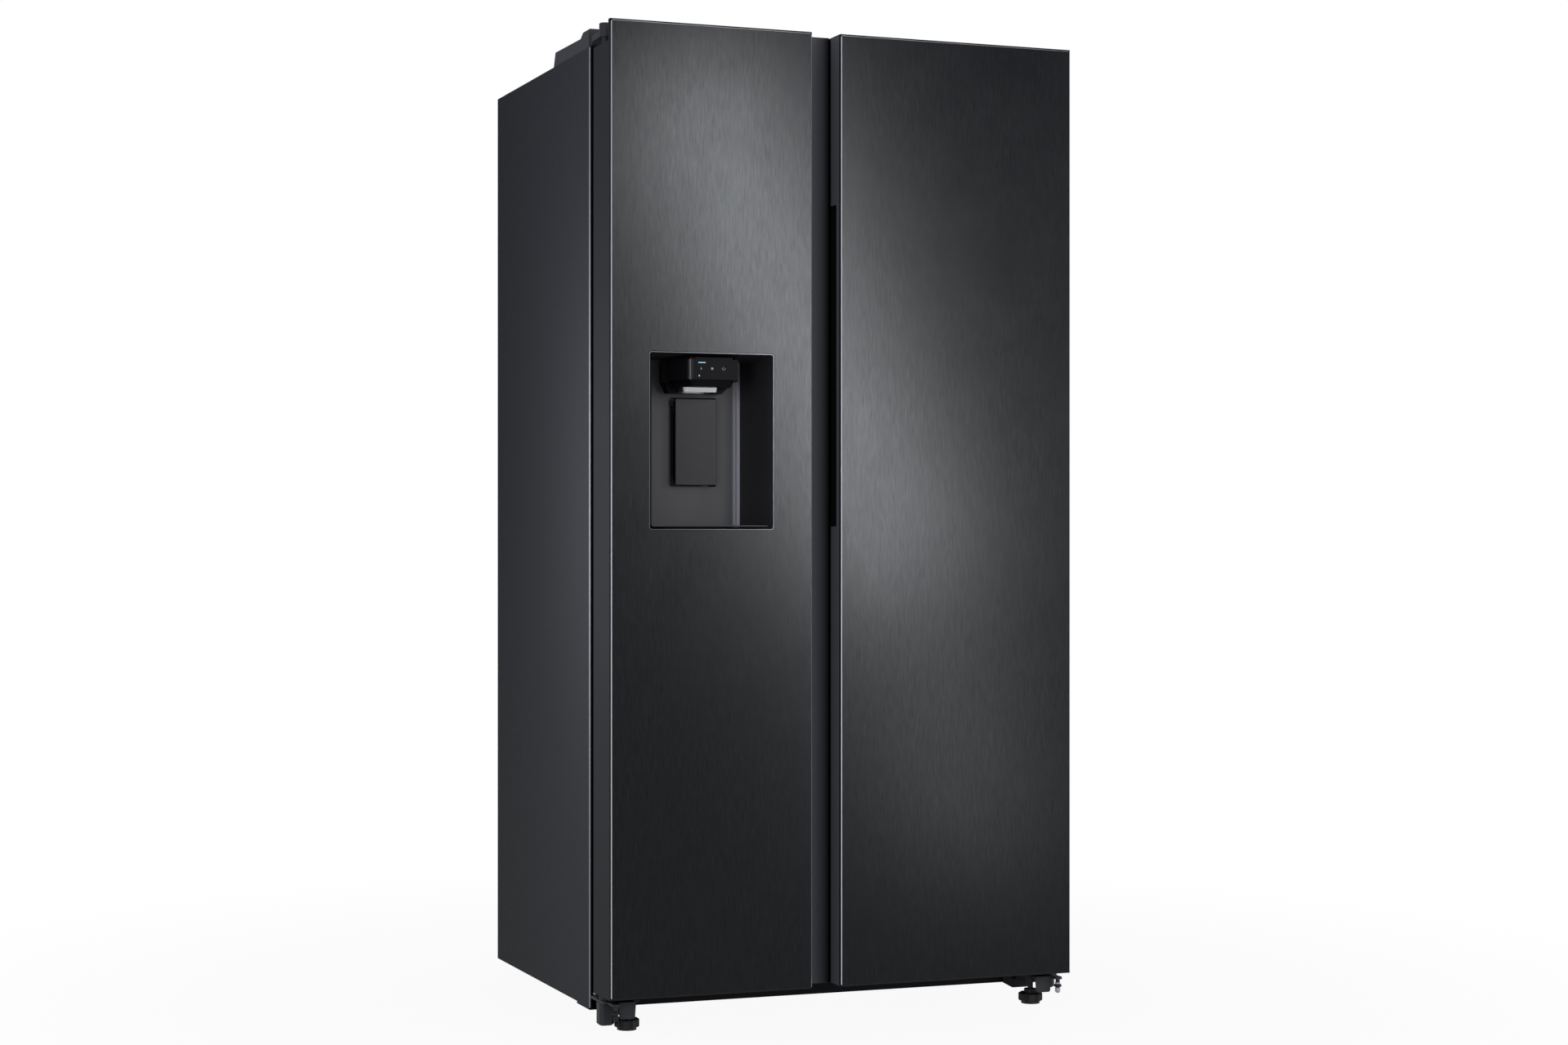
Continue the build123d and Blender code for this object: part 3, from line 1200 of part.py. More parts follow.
# Slotted drip tray on the recess floor
with BuildPart() as drip_tray:
    tray_y = (FRONT + 8, BACK_PLATE_FRONT - 4)
    with BuildSketch(Plane.XY.offset(RECESS_BACK_Z[0] + 0.5)):
        Polygon(
            (RECESS_X[0] + 7, tray_y[0]),
            (RECESS_X[1] - 7, tray_y[0]),
            (RECESS_BACK_X[1] - 7, tray_y[1]),
            (RECESS_BACK_X[0] + 7, tray_y[1]),
            align=None,
        )
        with Locations((sum(RECESS_X) / 2, sum(tray_y) / 2)):
            with GridLocations(12, 0, 11, 1):
                SlotOverall(60, 5, rotation=90, mode=Mode.SUBTRACT)
    extrude(amount=2.2)
save(drip_tray.part, "drip_tray")

# Ice bucket with end bearings for the auger and a floor hole over the chute
with BuildPart() as ice_bucket:
    with BuildSketch(Plane.XY.offset(BUCKET_Z[0])) as floor:
        rect(BUCKET_X, BUCKET_Y)
        fillet(floor.vertices(), 10)
    extrude(amount=BUCKET_Z[1] - BUCKET_Z[0])
    offset(amount=-3, openings=ice_bucket.faces().sort_by(Axis.Z)[-1])
    rod((BUCKET_X[0], AUGER_Y, AUGER_Z), (BUCKET_X[1], AUGER_Y, AUGER_Z), AUGER_SHAFT + PIN_CLEAR,
        Mode.SUBTRACT)
    with BuildSketch(Plane.XY.offset(BUCKET_Z[0])):
        with Locations((sum(SPOUT_X) / 2, DOOR_BACK + CHUTE_HEAD[1])):
            RectangleRounded(*CHUTE_HEAD, CHUTE_ROUND)
    extrude(amount=4, mode=Mode.SUBTRACT)
save(ice_bucket.part, "ice_bucket")

# Auger: a shaft with tilted sweeping blades
with BuildPart() as ice_auger:
    rod((BUCKET_X[0] + 0.4, AUGER_Y, AUGER_Z), (BUCKET_X[1] - 0.4, AUGER_Y, AUGER_Z), AUGER_SHAFT)
    for blade in range(6):
        at = (BUCKET_X[0] + 38 + blade * 38, AUGER_Y, AUGER_Z)
        lean = Vector(0, cos(radians(blade * 60)), sin(radians(blade * 60)))
        tilted = Vector(1, 0, 0).rotate(Axis(at, lean), AUGER_LEAN)
        with BuildSketch(Plane(origin=at, x_dir=lean, z_dir=tilted).offset(-1.5)):
            Circle(AUGER_RADIUS)
            with Locations((AUGER_RADIUS, 0)):
                Circle(AUGER_RADIUS * 0.7, mode=Mode.SUBTRACT)
        extrude(amount=3)
save(ice_auger.part, "ice_auger")

# Ice maker: a cup tray hung over the bucket with its drive box
with BuildPart() as ice_maker:
    tray_x = (BUCKET_X[0] + 4, BUCKET_X[1] - 60)
    tray_y = (DOOR_BACK + LINER + 14, MAKER_BACK - 4)
    tray_top = MAKER_Z[0] + 76
    block((tray_x[1], BUCKET_X[1] - 4), (DOOR_BACK + LINER, MAKER_BACK), MAKER_Z)
    block(tray_x, tray_y, (tray_top - CUP_DEEP - 8, tray_top))
    block(tray_x, (DOOR_BACK + LINER, tray_y[0] + 1), (tray_top - 16, tray_top))
    with BuildSketch(Plane.XY.offset(tray_top)):
        with Locations((sum(tray_x) / 2, sum(tray_y) / 2)):
            with GridLocations(*CUP_PITCH, 6, 2):
                RectangleRounded(CUP_PITCH[0] - 5, CUP_PITCH[1] - 5, 5)
    extrude(amount=-CUP_DEEP, taper=10, mode=Mode.SUBTRACT)
save(ice_maker.part, "ice_maker")
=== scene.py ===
"""Side-by-side refrigerator-freezer: finishes, small details, studio and camera."""

import json
import math

import bmesh
import bpy
from mathutils import Matrix, Vector


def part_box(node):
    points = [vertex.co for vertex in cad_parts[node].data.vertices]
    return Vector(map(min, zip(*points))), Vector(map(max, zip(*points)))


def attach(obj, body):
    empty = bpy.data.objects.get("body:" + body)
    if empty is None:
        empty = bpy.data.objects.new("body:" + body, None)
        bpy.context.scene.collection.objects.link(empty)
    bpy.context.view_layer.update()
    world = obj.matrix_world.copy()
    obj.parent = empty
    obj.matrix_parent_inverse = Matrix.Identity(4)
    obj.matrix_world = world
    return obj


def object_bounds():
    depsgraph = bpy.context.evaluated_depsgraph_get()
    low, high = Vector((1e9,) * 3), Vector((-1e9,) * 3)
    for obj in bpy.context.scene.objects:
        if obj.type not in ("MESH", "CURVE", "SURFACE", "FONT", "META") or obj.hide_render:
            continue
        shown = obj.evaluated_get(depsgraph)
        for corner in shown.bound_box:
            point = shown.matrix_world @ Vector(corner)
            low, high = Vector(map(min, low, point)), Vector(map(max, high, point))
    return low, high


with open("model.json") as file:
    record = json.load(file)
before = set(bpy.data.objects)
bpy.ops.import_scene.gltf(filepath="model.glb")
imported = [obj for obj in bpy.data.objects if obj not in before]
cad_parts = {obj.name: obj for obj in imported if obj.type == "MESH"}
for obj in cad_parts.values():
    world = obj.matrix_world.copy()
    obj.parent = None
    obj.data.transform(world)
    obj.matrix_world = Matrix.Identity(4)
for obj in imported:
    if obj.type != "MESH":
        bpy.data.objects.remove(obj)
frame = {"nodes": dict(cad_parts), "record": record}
cad_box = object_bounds()
nodes = frame["nodes"]

MM = 0.001

# Outer faces of the refrigerator, in mm
LEFT, FRONT = cad_box[0][0] / MM, cad_box[0][1] / MM
RIGHT, REAR = cad_box[1][0] / MM, cad_box[1][1] / MM

# Camera as the photograph was taken: level, with the view shifted off its axis
CAMERA_AT = (-1.93035, -4.73908, 0.8767)
CAMERA_YAW = 0.3412
FOCAL_PIXELS = 3209.2
AXIS_PIXEL = (801.02, 661.8)
IMAGE_SIZE = (1920, 1280)
SENSOR = 36.0

# Pieces painted in the hinge finish, paler than the door paint of their slot
HINGES = ("upper_hinge_left", "upper_hinge_right", "lower_hinge_left", "lower_hinge_right")

# Depths behind the door front, in mm: control head, finger channel, raised plate in the dispenser recess,
# bolted face of a hinge bracket, back of the case plug
HEAD_FACE = 4
CHANNEL_DEPTH = 47
PLATE_FACE = 102
BRACKET_FACE = 114
PLUG_BACK = 117

# Dispenser, in mm: end of the head's rounded corner and right edge of the raised plate in the recess,
# from the left side of the refrigerator, and underside of the head, from the floor
HEAD_CORNER = 158
PLATE_RIGHT = 278.5
HEAD_BOTTOM = 1164.4

# Screws and bolts, in mm: distances from the rear face or a side, heights, and places across the width
SHEET_BACK = 4
SHEET_IN = 14
SHEET_LEVELS = (300, 540, 780, 1020, 1260, 1500, 1740)
SHEET_TOP = 1752
COVER_BACK = 3
COVER_IN = 18
COVER_LEVELS = (62, 240)
COVER_TOP = 250
ACROSS = (-210, 0, 210)
BOLTS_IN = (32, 60)
BOLT_LEVELS = (42, 65)

# Radius and height of a head, in mm
SHEET_SCREW = (4.2, 2.2)
COVER_SCREW = (4.2, 2.0)
BRACKET_BOLT = (5, 3)
PLUG_HEAD = (3, 2)

# Stop pin of a lower hinge, in mm from the side and the door front, and the outlines of the pieces on it,
# as radius and height from the floor
STOP_IN = 16.5
STOP_BACK = 20
STOP_CAP = ((0, 23.5), (3, 24), (4.6, 26), (5, 28.5), (5, 33), (4.5, 33.6), (0, 33.6))
STOP_RING = ((0, 40.6), (4.5, 40.6), (4.9, 41), (4.9, 43), (4.5, 43.4), (0, 43.4))
STOP_WASHER = ((0, 35.4), (6.6, 35.4), (7.1, 36), (7.1, 39), (6.6, 39.5), (0, 39.5))

# Sockets of a mix node: its factor, its two values and its two colours
FACTOR, VALUE_A, VALUE_B, COLOUR_A, COLOUR_B = 0, 2, 3, 6, 7

# Clouds of tone in a moulding are this many times as wide as its texture
CLOUD_SPREAD = 60

# Studio light: what the room gives to matt and to glossy surfaces, where 1 is white
ROOM_LIGHT = 0.5
ROOM_GLOSS = 0.36
ROOM_TINT = "#eaeeff"

# Floor: half its width in m, its white close to the refrigerator, and the share of it in reflections
FLOOR_REACH = 30.0
FLOOR_NEAR = 0.94
FLOOR_GLOSS = 0.4


def linear(colour):
    """Linear RGBA of an sRGB hex colour."""
    channels = [int(colour[i:i + 2], 16) / 255 for i in (1, 3, 5)]
    return [c / 12.92 if c <= 0.04045 else ((c + 0.055) / 1.055) ** 2.4 for c in channels] + [1.0]


def add(tree, kind, inputs=None, **settings):
    """Adds a node, sets its properties, and gives its inputs values, sockets or another node's result."""
    made = tree.nodes.new(kind)
    for key, value in settings.items():
        setattr(made, key, value)
    for key, value in (inputs or {}).items():
        if isinstance(value, bpy.types.Node):
            value = next(result for result in value.outputs if result.enabled)
        if isinstance(value, bpy.types.NodeSocket):
            tree.links.new(value, made.inputs[key])
        else:
            made.inputs[key].default_value = value
    return made


def start(name):
    """New material with an empty node tree."""
    made = bpy.data.materials.new(name)
    made.use_nodes = True
    made.node_tree.nodes.clear()
    return made, made.node_tree


def grain(tree, size, stretch=(1, 1, 1), detail=3.0, contrast=0.22):
    """Noise from 0 to 1 whose spots have a real size in mm, stretched along the object's axes."""
    place = add(tree, "ShaderNodeTexCoord")
    scale = [1 / (size * MM * times) for times in stretch]
    mapped = add(tree, "ShaderNodeMapping", {"Vector": place.outputs["Object"], "Scale": scale})
    noise = add(tree, "ShaderNodeTexNoise", {"Vector": mapped, "Scale": 1.0, "Detail": detail})
    limits = {"Value": noise.outputs["Fac"], "From Min": 0.5 - contrast, "From Max": 0.5 + contrast}
    return add(tree, "ShaderNodeMapRange", limits)


def along(tree, axis, low, high):
    """Runs from 0 at one place to 1 at another along an axis of the object, in metres."""
    place = add(tree, "ShaderNodeTexCoord")
    parts = add(tree, "ShaderNodeSeparateXYZ", {"Vector": place.outputs["Object"]})
    limits = {"Value": parts.outputs[axis], "From Min": low, "From Max": high}
    return add(tree, "ShaderNodeMapRange", limits)


def close(tree, colour, rough, height=None, relief=0.0, **sockets):
    """Ends a material with its shader; relief is the height of the bumps in mm."""
    inputs = {"Base Color": colour, "Roughness": rough}
    inputs.update({key.replace("_", " "): value for key, value in sockets.items()})
    if height is not None:
        bumps = {"Height": height, "Strength": 1.0, "Distance": relief * MM}
        inputs["Normal"] = add(tree, "ShaderNodeBump", bumps)
    shader = add(tree, "ShaderNodeBsdfPrincipled", inputs)
    add(tree, "ShaderNodeOutputMaterial", {"Surface": shader})


def moulded(name, tones, size, rough, relief, **sockets):
    """Moulded plastic, rubber or foam, or plain paint or ink: an even tone with a fine texture."""
    made, tree = start(name)
    spots = grain(tree, size)
    clouds = grain(tree, CLOUD_SPREAD * size)
    ends = {FACTOR: clouds, COLOUR_A: linear(tones[0]), COLOUR_B: linear(tones[1])}
    colour = add(tree, "ShaderNodeMix", ends, data_type="RGBA")
    limits = {"Value": spots, "To Min": rough[0], "To Max": rough[1]}
    gloss = add(tree, "ShaderNodeMapRange", limits)
    close(tree, colour, gloss, spots, relief, **sockets)
    return made


def sheet_metal(name, tones, size, stretch, rough, relief, **sockets):
    """Bare or plated metal: clouds or drawn-out grain in tone and gloss."""
    made, tree = start(name)
    lines = grain(tree, size, stretch)
    ends = {FACTOR: lines, COLOUR_A: linear(tones[0]), COLOUR_B: linear(tones[1])}
    colour = add(tree, "ShaderNodeMix", ends, data_type="RGBA")
    limits = {"Value": lines, "To Min": rough[0], "To Max": rough[1]}
    gloss = add(tree, "ShaderNodeMapRange", limits)
    close(tree, colour, gloss, lines, relief, Metallic=1.0, **sockets)
    return made


def brushed_dark_steel():
    """Stainless sheet with a smoked coating: vertical hairlines, and bare metal on the bevelled edges.

    The hairlines are drawn up to 2 mm wide, coarser than real ones, so that they show in the render.
    They change the tone and not the gloss, so that they show as clearly in the gleam as beside it.
    The top bevel is painted mid grey and the bottom bevel near black, as painted shade.
    """
    made, tree = start("brushed_dark_stainless_steel")
    coarse = grain(tree, 2.0, (1, 1, 13), detail=2.0, contrast=0.3)
    fine = grain(tree, 1.2, (1, 1, 24), detail=2.0, contrast=0.3)
    lines = add(tree, "ShaderNodeMix", {FACTOR: 0.55, VALUE_A: coarse, VALUE_B: fine})
    (_, front, low), (_, _, high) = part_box("freezer_door_panel")
    bevel = along(tree, "Y", front + 0.05 * MM, front + 0.15 * MM)
    # Painted shade: the top 2 mm of the bevel is painted mid grey and the bottom 2 mm near black, darker
    # than the bright bare-metal side bevels
    head = along(tree, "Z", high - 3 * MM, high - 2 * MM)
    foot = along(tree, "Z", low + 3 * MM, low + 2 * MM)
    ends = {FACTOR: lines, COLOUR_A: linear("#222324"), COLOUR_B: linear("#363738")}
    face = add(tree, "ShaderNodeMix", ends, data_type="RGBA")
    ends = {FACTOR: head, COLOUR_A: linear("#eeeff2"), COLOUR_B: linear("#77787a")}
    upright = add(tree, "ShaderNodeMix", ends, data_type="RGBA")
    ends = {FACTOR: foot, COLOUR_A: upright, COLOUR_B: linear("#2a2a2c")}
    edge = add(tree, "ShaderNodeMix", ends, data_type="RGBA")
    ends = {FACTOR: bevel, COLOUR_A: face, COLOUR_B: edge}
    colour = add(tree, "ShaderNodeMix", ends, data_type="RGBA")
    limits = {"Value": grain(tree, 90), "To Min": 0.24, "To Max": 0.26}
    brushed = add(tree, "ShaderNodeMapRange", limits)
    rough = add(tree, "ShaderNodeMix", {FACTOR: bevel, VALUE_A: brushed, VALUE_B: 0.4})
    metal = add(tree, "ShaderNodeMapRange", {"Value": bevel, "To Min": 1.0, "To Max": 0.85})
    close(tree, colour, rough, lines, 0.003, Metallic=metal)
    return made


def painted_steel():
    """Powder-painted case steel: dark grey with a fine leathery emboss that breaks up the sheen.

    It has painted light and shade: lighter towards the front, a painted highlight on the front fold, and
    painted shade, black, on the face behind the door seal.
    """
    made, tree = start("embossed_painted_steel")
    emboss = grain(tree, 2.2, detail=2.0)
    (_, case_front, _), (_, case_rear, _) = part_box("side_panel_left")
    # Painted light: the side is painted lighter towards the front
    front_lit = along(tree, "Y", case_rear, case_front)
    ends = {FACTOR: front_lit, COLOUR_A: linear("#27282a"), COLOUR_B: linear("#3b3c3f")}
    flat = add(tree, "ShaderNodeMix", ends, data_type="RGBA")
    # Painted highlight: a pale band along the front fold of the case
    fold = along(tree, "Y", case_front + 6 * MM, case_front + 4 * MM)
    ends = {FACTOR: fold, COLOUR_A: flat, COLOUR_B: linear("#9fa0a6")}
    folded = add(tree, "ShaderNodeMix", ends, data_type="RGBA")
    # Painted shade: the case's front face behind the door is painted black
    shaded_face = along(tree, "Y", case_front + 1.2 * MM, case_front + 0.8 * MM)
    ends = {FACTOR: shaded_face, COLOUR_A: folded, COLOUR_B: linear("#050505")}
    colour = add(tree, "ShaderNodeMix", ends, data_type="RGBA")
    gloss = add(tree, "ShaderNodeMapRange", {"Value": emboss, "To Min": 0.4, "To Max": 0.52})
    close(tree, colour, gloss, emboss, 0.03, Specular_IOR_Level=0.05)
    return made


def door_paint():
    """Satin paint on the folded door sides, with a painted shadow line, near black, just behind the front
    sheet.

    The right door's side in the finger channel is painted a lighter grey as painted light, and the left
    door's part of the channel floor has painted shade that fades from grey to black.
    """
    made, tree = start("satin_painted_door_steel")
    orange_peel = grain(tree, 1.6)
    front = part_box("freezer_door_shell")[0][1]
    grip_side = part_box("fridge_door_shell")[0][0]
    # Painted shadow: a near-black line on the door side just behind the front sheet
    shadow_line = along(tree, "Y", front + 5 * MM, front + 4 * MM)
    ends = {FACTOR: grain(tree, 200), COLOUR_A: linear("#2e2f31"), COLOUR_B: linear("#323335")}
    paint_tone = add(tree, "ShaderNodeMix", ends, data_type="RGBA")
    # Painted light: the right door's side in the finger channel is painted a lighter grey
    past = along(tree, "X", grip_side - 1 * MM, grip_side)
    before = along(tree, "X", grip_side + 3 * MM, grip_side + 2 * MM)
    facing = add(tree, "ShaderNodeMath", {0: past, 1: before}, operation="MULTIPLY")
    ends = {FACTOR: facing, COLOUR_A: paint_tone, COLOUR_B: linear("#6a6b6e")}
    sides = add(tree, "ShaderNodeMix", ends, data_type="RGBA")
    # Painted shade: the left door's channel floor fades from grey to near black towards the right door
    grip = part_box("freezer_door_panel")[1][0]
    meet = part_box("freezer_door_shell")[1][0]
    floor = cad_box[0][1] + CHANNEL_DEPTH * MM
    inside = along(tree, "X", grip - 1 * MM, grip)
    deep = along(tree, "Y", floor - 1 * MM, floor)
    sunk = add(tree, "ShaderNodeMath", {0: inside, 1: deep}, operation="MULTIPLY")
    inward = along(tree, "X", meet, grip)
    ends = {FACTOR: inward, COLOUR_A: linear("#060607"), COLOUR_B: linear("#9a9b9d")}
    shade = add(tree, "ShaderNodeMix", ends, data_type="RGBA")
    ends = {FACTOR: sunk, COLOUR_A: sides, COLOUR_B: shade}
    channel = add(tree, "ShaderNodeMix", ends, data_type="RGBA")
    ends = {FACTOR: shadow_line, COLOUR_A: channel, COLOUR_B: linear("#0d0d0e")}
    colour = add(tree, "ShaderNodeMix", ends, data_type="RGBA")
    gloss = add(tree, "ShaderNodeMapRange", {"Value": orange_peel, "To Min": 0.4, "To Max": 0.5})
    close(tree, colour, gloss, orange_peel, 0.01, Specular_IOR_Level=0.05)
    return made


def hinge_cover_plastic():
    """Moulded cover in dark grey with a dull skin, and a painted shadow, near black, where it stands on
    the case.
    """
    made, tree = start("moulded_grey_abs")
    spots = grain(tree, 0.9)
    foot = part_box("hinge_cover_left")[0][2]
    # Painted shadow: a near-black band along the foot of the cover
    shadow_gap = along(tree, "Z", foot + 1.6 * MM, foot + 1.2 * MM)
    ends = {FACTOR: grain(tree, 54), COLOUR_A: linear("#313233"), COLOUR_B: linear("#363738")}
    grey = add(tree, "ShaderNodeMix", ends, data_type="RGBA")
    ends = {FACTOR: shadow_gap, COLOUR_A: grey, COLOUR_B: linear("#050506")}
    colour = add(tree, "ShaderNodeMix", ends, data_type="RGBA")
    gloss = add(tree, "ShaderNodeMapRange", {"Value": spots, "To Min": 0.42, "To Max": 0.52})
    close(tree, colour, gloss, spots, 0.02)
    return made


def dispenser_plastic():
    """Matt moulding of the dispenser recess: dark side walls and a grey raised back plate.

    The plate is painted paler to the right as painted light, with a painted highlight where its right edge
    rounds over.
    """
    made, tree = start("matt_two_tone_abs")
    spark = grain(tree, 0.8)
    (left, _, _), (right, _, _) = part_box("dispenser_housing")
    plate_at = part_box("freezer_door_panel")[0][1] + PLATE_FACE * MM
    plate = along(tree, "Y", plate_at - 0.6 * MM, plate_at - 0.2 * MM)
    edge = cad_box[0][0] + PLATE_RIGHT * MM
    # Painted light: the plate is painted paler to the right
    across = along(tree, "X", left, right)
    ends = {FACTOR: across, COLOUR_A: linear("#39393b"), COLOUR_B: linear("#626265")}
    grey = add(tree, "ShaderNodeMix", ends, data_type="RGBA")
    # Painted highlight: a pale band where the plate's right edge rounds over
    rounded = along(tree, "X", edge - 10 * MM, edge - 4 * MM)
    ends = {FACTOR: rounded, COLOUR_A: grey, COLOUR_B: linear("#c4c4c7")}
    pale = add(tree, "ShaderNodeMix", ends, data_type="RGBA")
    ends = {FACTOR: plate, COLOUR_A: linear("#27272a"), COLOUR_B: pale}
    colour = add(tree, "ShaderNodeMix", ends, data_type="RGBA")
    gloss = add(tree, "ShaderNodeMapRange", {"Value": spark, "To Min": 0.5, "To Max": 0.62})
    close(tree, colour, gloss, spark, 0.02)
    return made


def dispenser_head_acrylic():
    """Satin black head whose side and rounded corner take a soft light; display film and hood are matt."""
    made, tree = start("satin_black_acrylic")
    cloud = grain(tree, 40)
    corner = cad_box[0][0] + HEAD_CORNER * MM
    film = along(tree, "X", corner - 3 * MM, corner)
    hood = along(tree, "Z", HEAD_BOTTOM * MM, (HEAD_BOTTOM - 1) * MM)
    matt = add(tree, "ShaderNodeMath", {0: film, 1: hood}, operation="MAXIMUM")
    ends = {FACTOR: cloud, COLOUR_A: linear("#111114"), COLOUR_B: linear("#161619")}
    colour = add(tree, "ShaderNodeMix", ends, data_type="RGBA")
    gloss = add(tree, "ShaderNodeMapRange", {"Value": matt, "To Min": 0.26, "To Max": 0.42})
    shine = add(tree, "ShaderNodeMapRange", {"Value": matt, "To Min": 0.6, "To Max": 0.06})
    close(tree, colour, gloss, Specular_IOR_Level=shine)
    return made


def bezel_metal():
    """Polished dispenser frame: a thin line, painted brighter to the right as painted light."""
    made, tree = start("polished_bezel_metal")
    lines = grain(tree, 2.0, (1, 1, 12))
    (left, _, _), (right, _, _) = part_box("dispenser_bezel")
    # Painted light: the frame is painted brighter to the right
    across = along(tree, "X", left, right)
    ends = {FACTOR: across, COLOUR_A: linear("#47484c"), COLOUR_B: linear("#5c5d62")}
    colour = add(tree, "ShaderNodeMix", ends, data_type="RGBA")
    gloss = add(tree, "ShaderNodeMapRange", {"Value": lines, "To Min": 0.28, "To Max": 0.36})
    close(tree, colour, gloss, lines, 0.002, Metallic=1.0)
    return made


def clear_plastic():
    """Clear polystyrene: faint blue tint, thin walls that pass light, glossy with slight flow marks."""
    made, tree = start("clear_polystyrene")
    flow = grain(tree, 45, (1, 1, 3))
    ends = {FACTOR: flow, COLOUR_A: linear("#e6eef2"), COLOUR_B: linear("#f4f8fa")}
    colour = add(tree, "ShaderNodeMix", ends, data_type="RGBA")
    gloss = add(tree, "ShaderNodeMapRange", {"Value": flow, "To Min": 0.04, "To Max": 0.1})
    close(tree, colour, gloss, IOR=1.59, Transmission_Weight=0.85)
    return made


def shelf_glass():
    """Tempered soda-lime pane: clear with a faint green body and a very smooth face."""
    made, tree = start("tempered_glass")
    waves = grain(tree, 120)
    ends = {FACTOR: waves, COLOUR_A: linear("#e4f0ea"), COLOUR_B: linear("#eef6f1")}
    colour = add(tree, "ShaderNodeMix", ends, data_type="RGBA")
    gloss = add(tree, "ShaderNodeMapRange", {"Value": waves, "To Min": 0.0, "To Max": 0.03})
    close(tree, colour, gloss, IOR=1.52, Transmission_Weight=0.95)
    return made


def lamp_lens():
    """Frosted acrylic over the lamp: milky, with a soft warm glow of its own."""
    made, tree = start("frosted_acrylic_lens")
    frost = grain(tree, 1.5)
    ends = {FACTOR: frost, COLOUR_A: linear("#f3efe4"), COLOUR_B: linear("#fbf8f0")}
    colour = add(tree, "ShaderNodeMix", ends, data_type="RGBA")
    gloss = add(tree, "ShaderNodeMapRange", {"Value": frost, "To Min": 0.45, "To Max": 0.6})
    glow = linear("#fff6e6")
    close(tree, colour, gloss, frost, 0.02, Emission_Color=glow, Emission_Strength=14.0)
    return made


def paddle_metal():
    """Dark metallised plate: fine sideways grain, painted lighter to the right, and a painted highlight on
    its rounded left edge.
    """
    made, tree = start("brushed_dark_plate")
    lines = grain(tree, 0.9, (70, 1, 1), detail=3.0)
    (left, _, _), (right, _, _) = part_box("dispenser_paddle")
    # Painted light: the plate is painted lighter to the right
    across = along(tree, "X", left, right)
    ends = {FACTOR: across, COLOUR_A: linear("#131316"), COLOUR_B: linear("#212124")}
    light = add(tree, "ShaderNodeMix", ends, data_type="RGBA")
    ends = {FACTOR: lines, COLOUR_A: linear("#0f0f11"), COLOUR_B: light}
    face = add(tree, "ShaderNodeMix", ends, data_type="RGBA")
    # Painted highlight: a paler band along the paddle's rounded left edge
    rounded = along(tree, "X", left + 3.5 * MM, left + 2 * MM)
    ends = {FACTOR: rounded, COLOUR_A: face, COLOUR_B: linear("#3a3a3d")}
    colour = add(tree, "ShaderNodeMix", ends, data_type="RGBA")
    gloss = add(tree, "ShaderNodeMapRange", {"Value": lines, "To Min": 0.34, "To Max": 0.44})
    close(tree, colour, gloss, lines, 0.005, Metallic=0.6)
    return made


def indicator_glow():
    """Lit acrylic window: cool blue and slightly cloudy."""
    made, tree = start("lit_blue_acrylic")
    cloud = grain(tree, 3.0)
    ends = {FACTOR: cloud, COLOUR_A: linear("#66a9c6"), COLOUR_B: linear("#9fd2e6")}
    colour = add(tree, "ShaderNodeMix", ends, data_type="RGBA")
    gloss = add(tree, "ShaderNodeMapRange", {"Value": cloud, "To Min": 0.2, "To Max": 0.3})
    close(tree, colour, gloss, Emission_Color=colour, Emission_Strength=0.9)
    return made


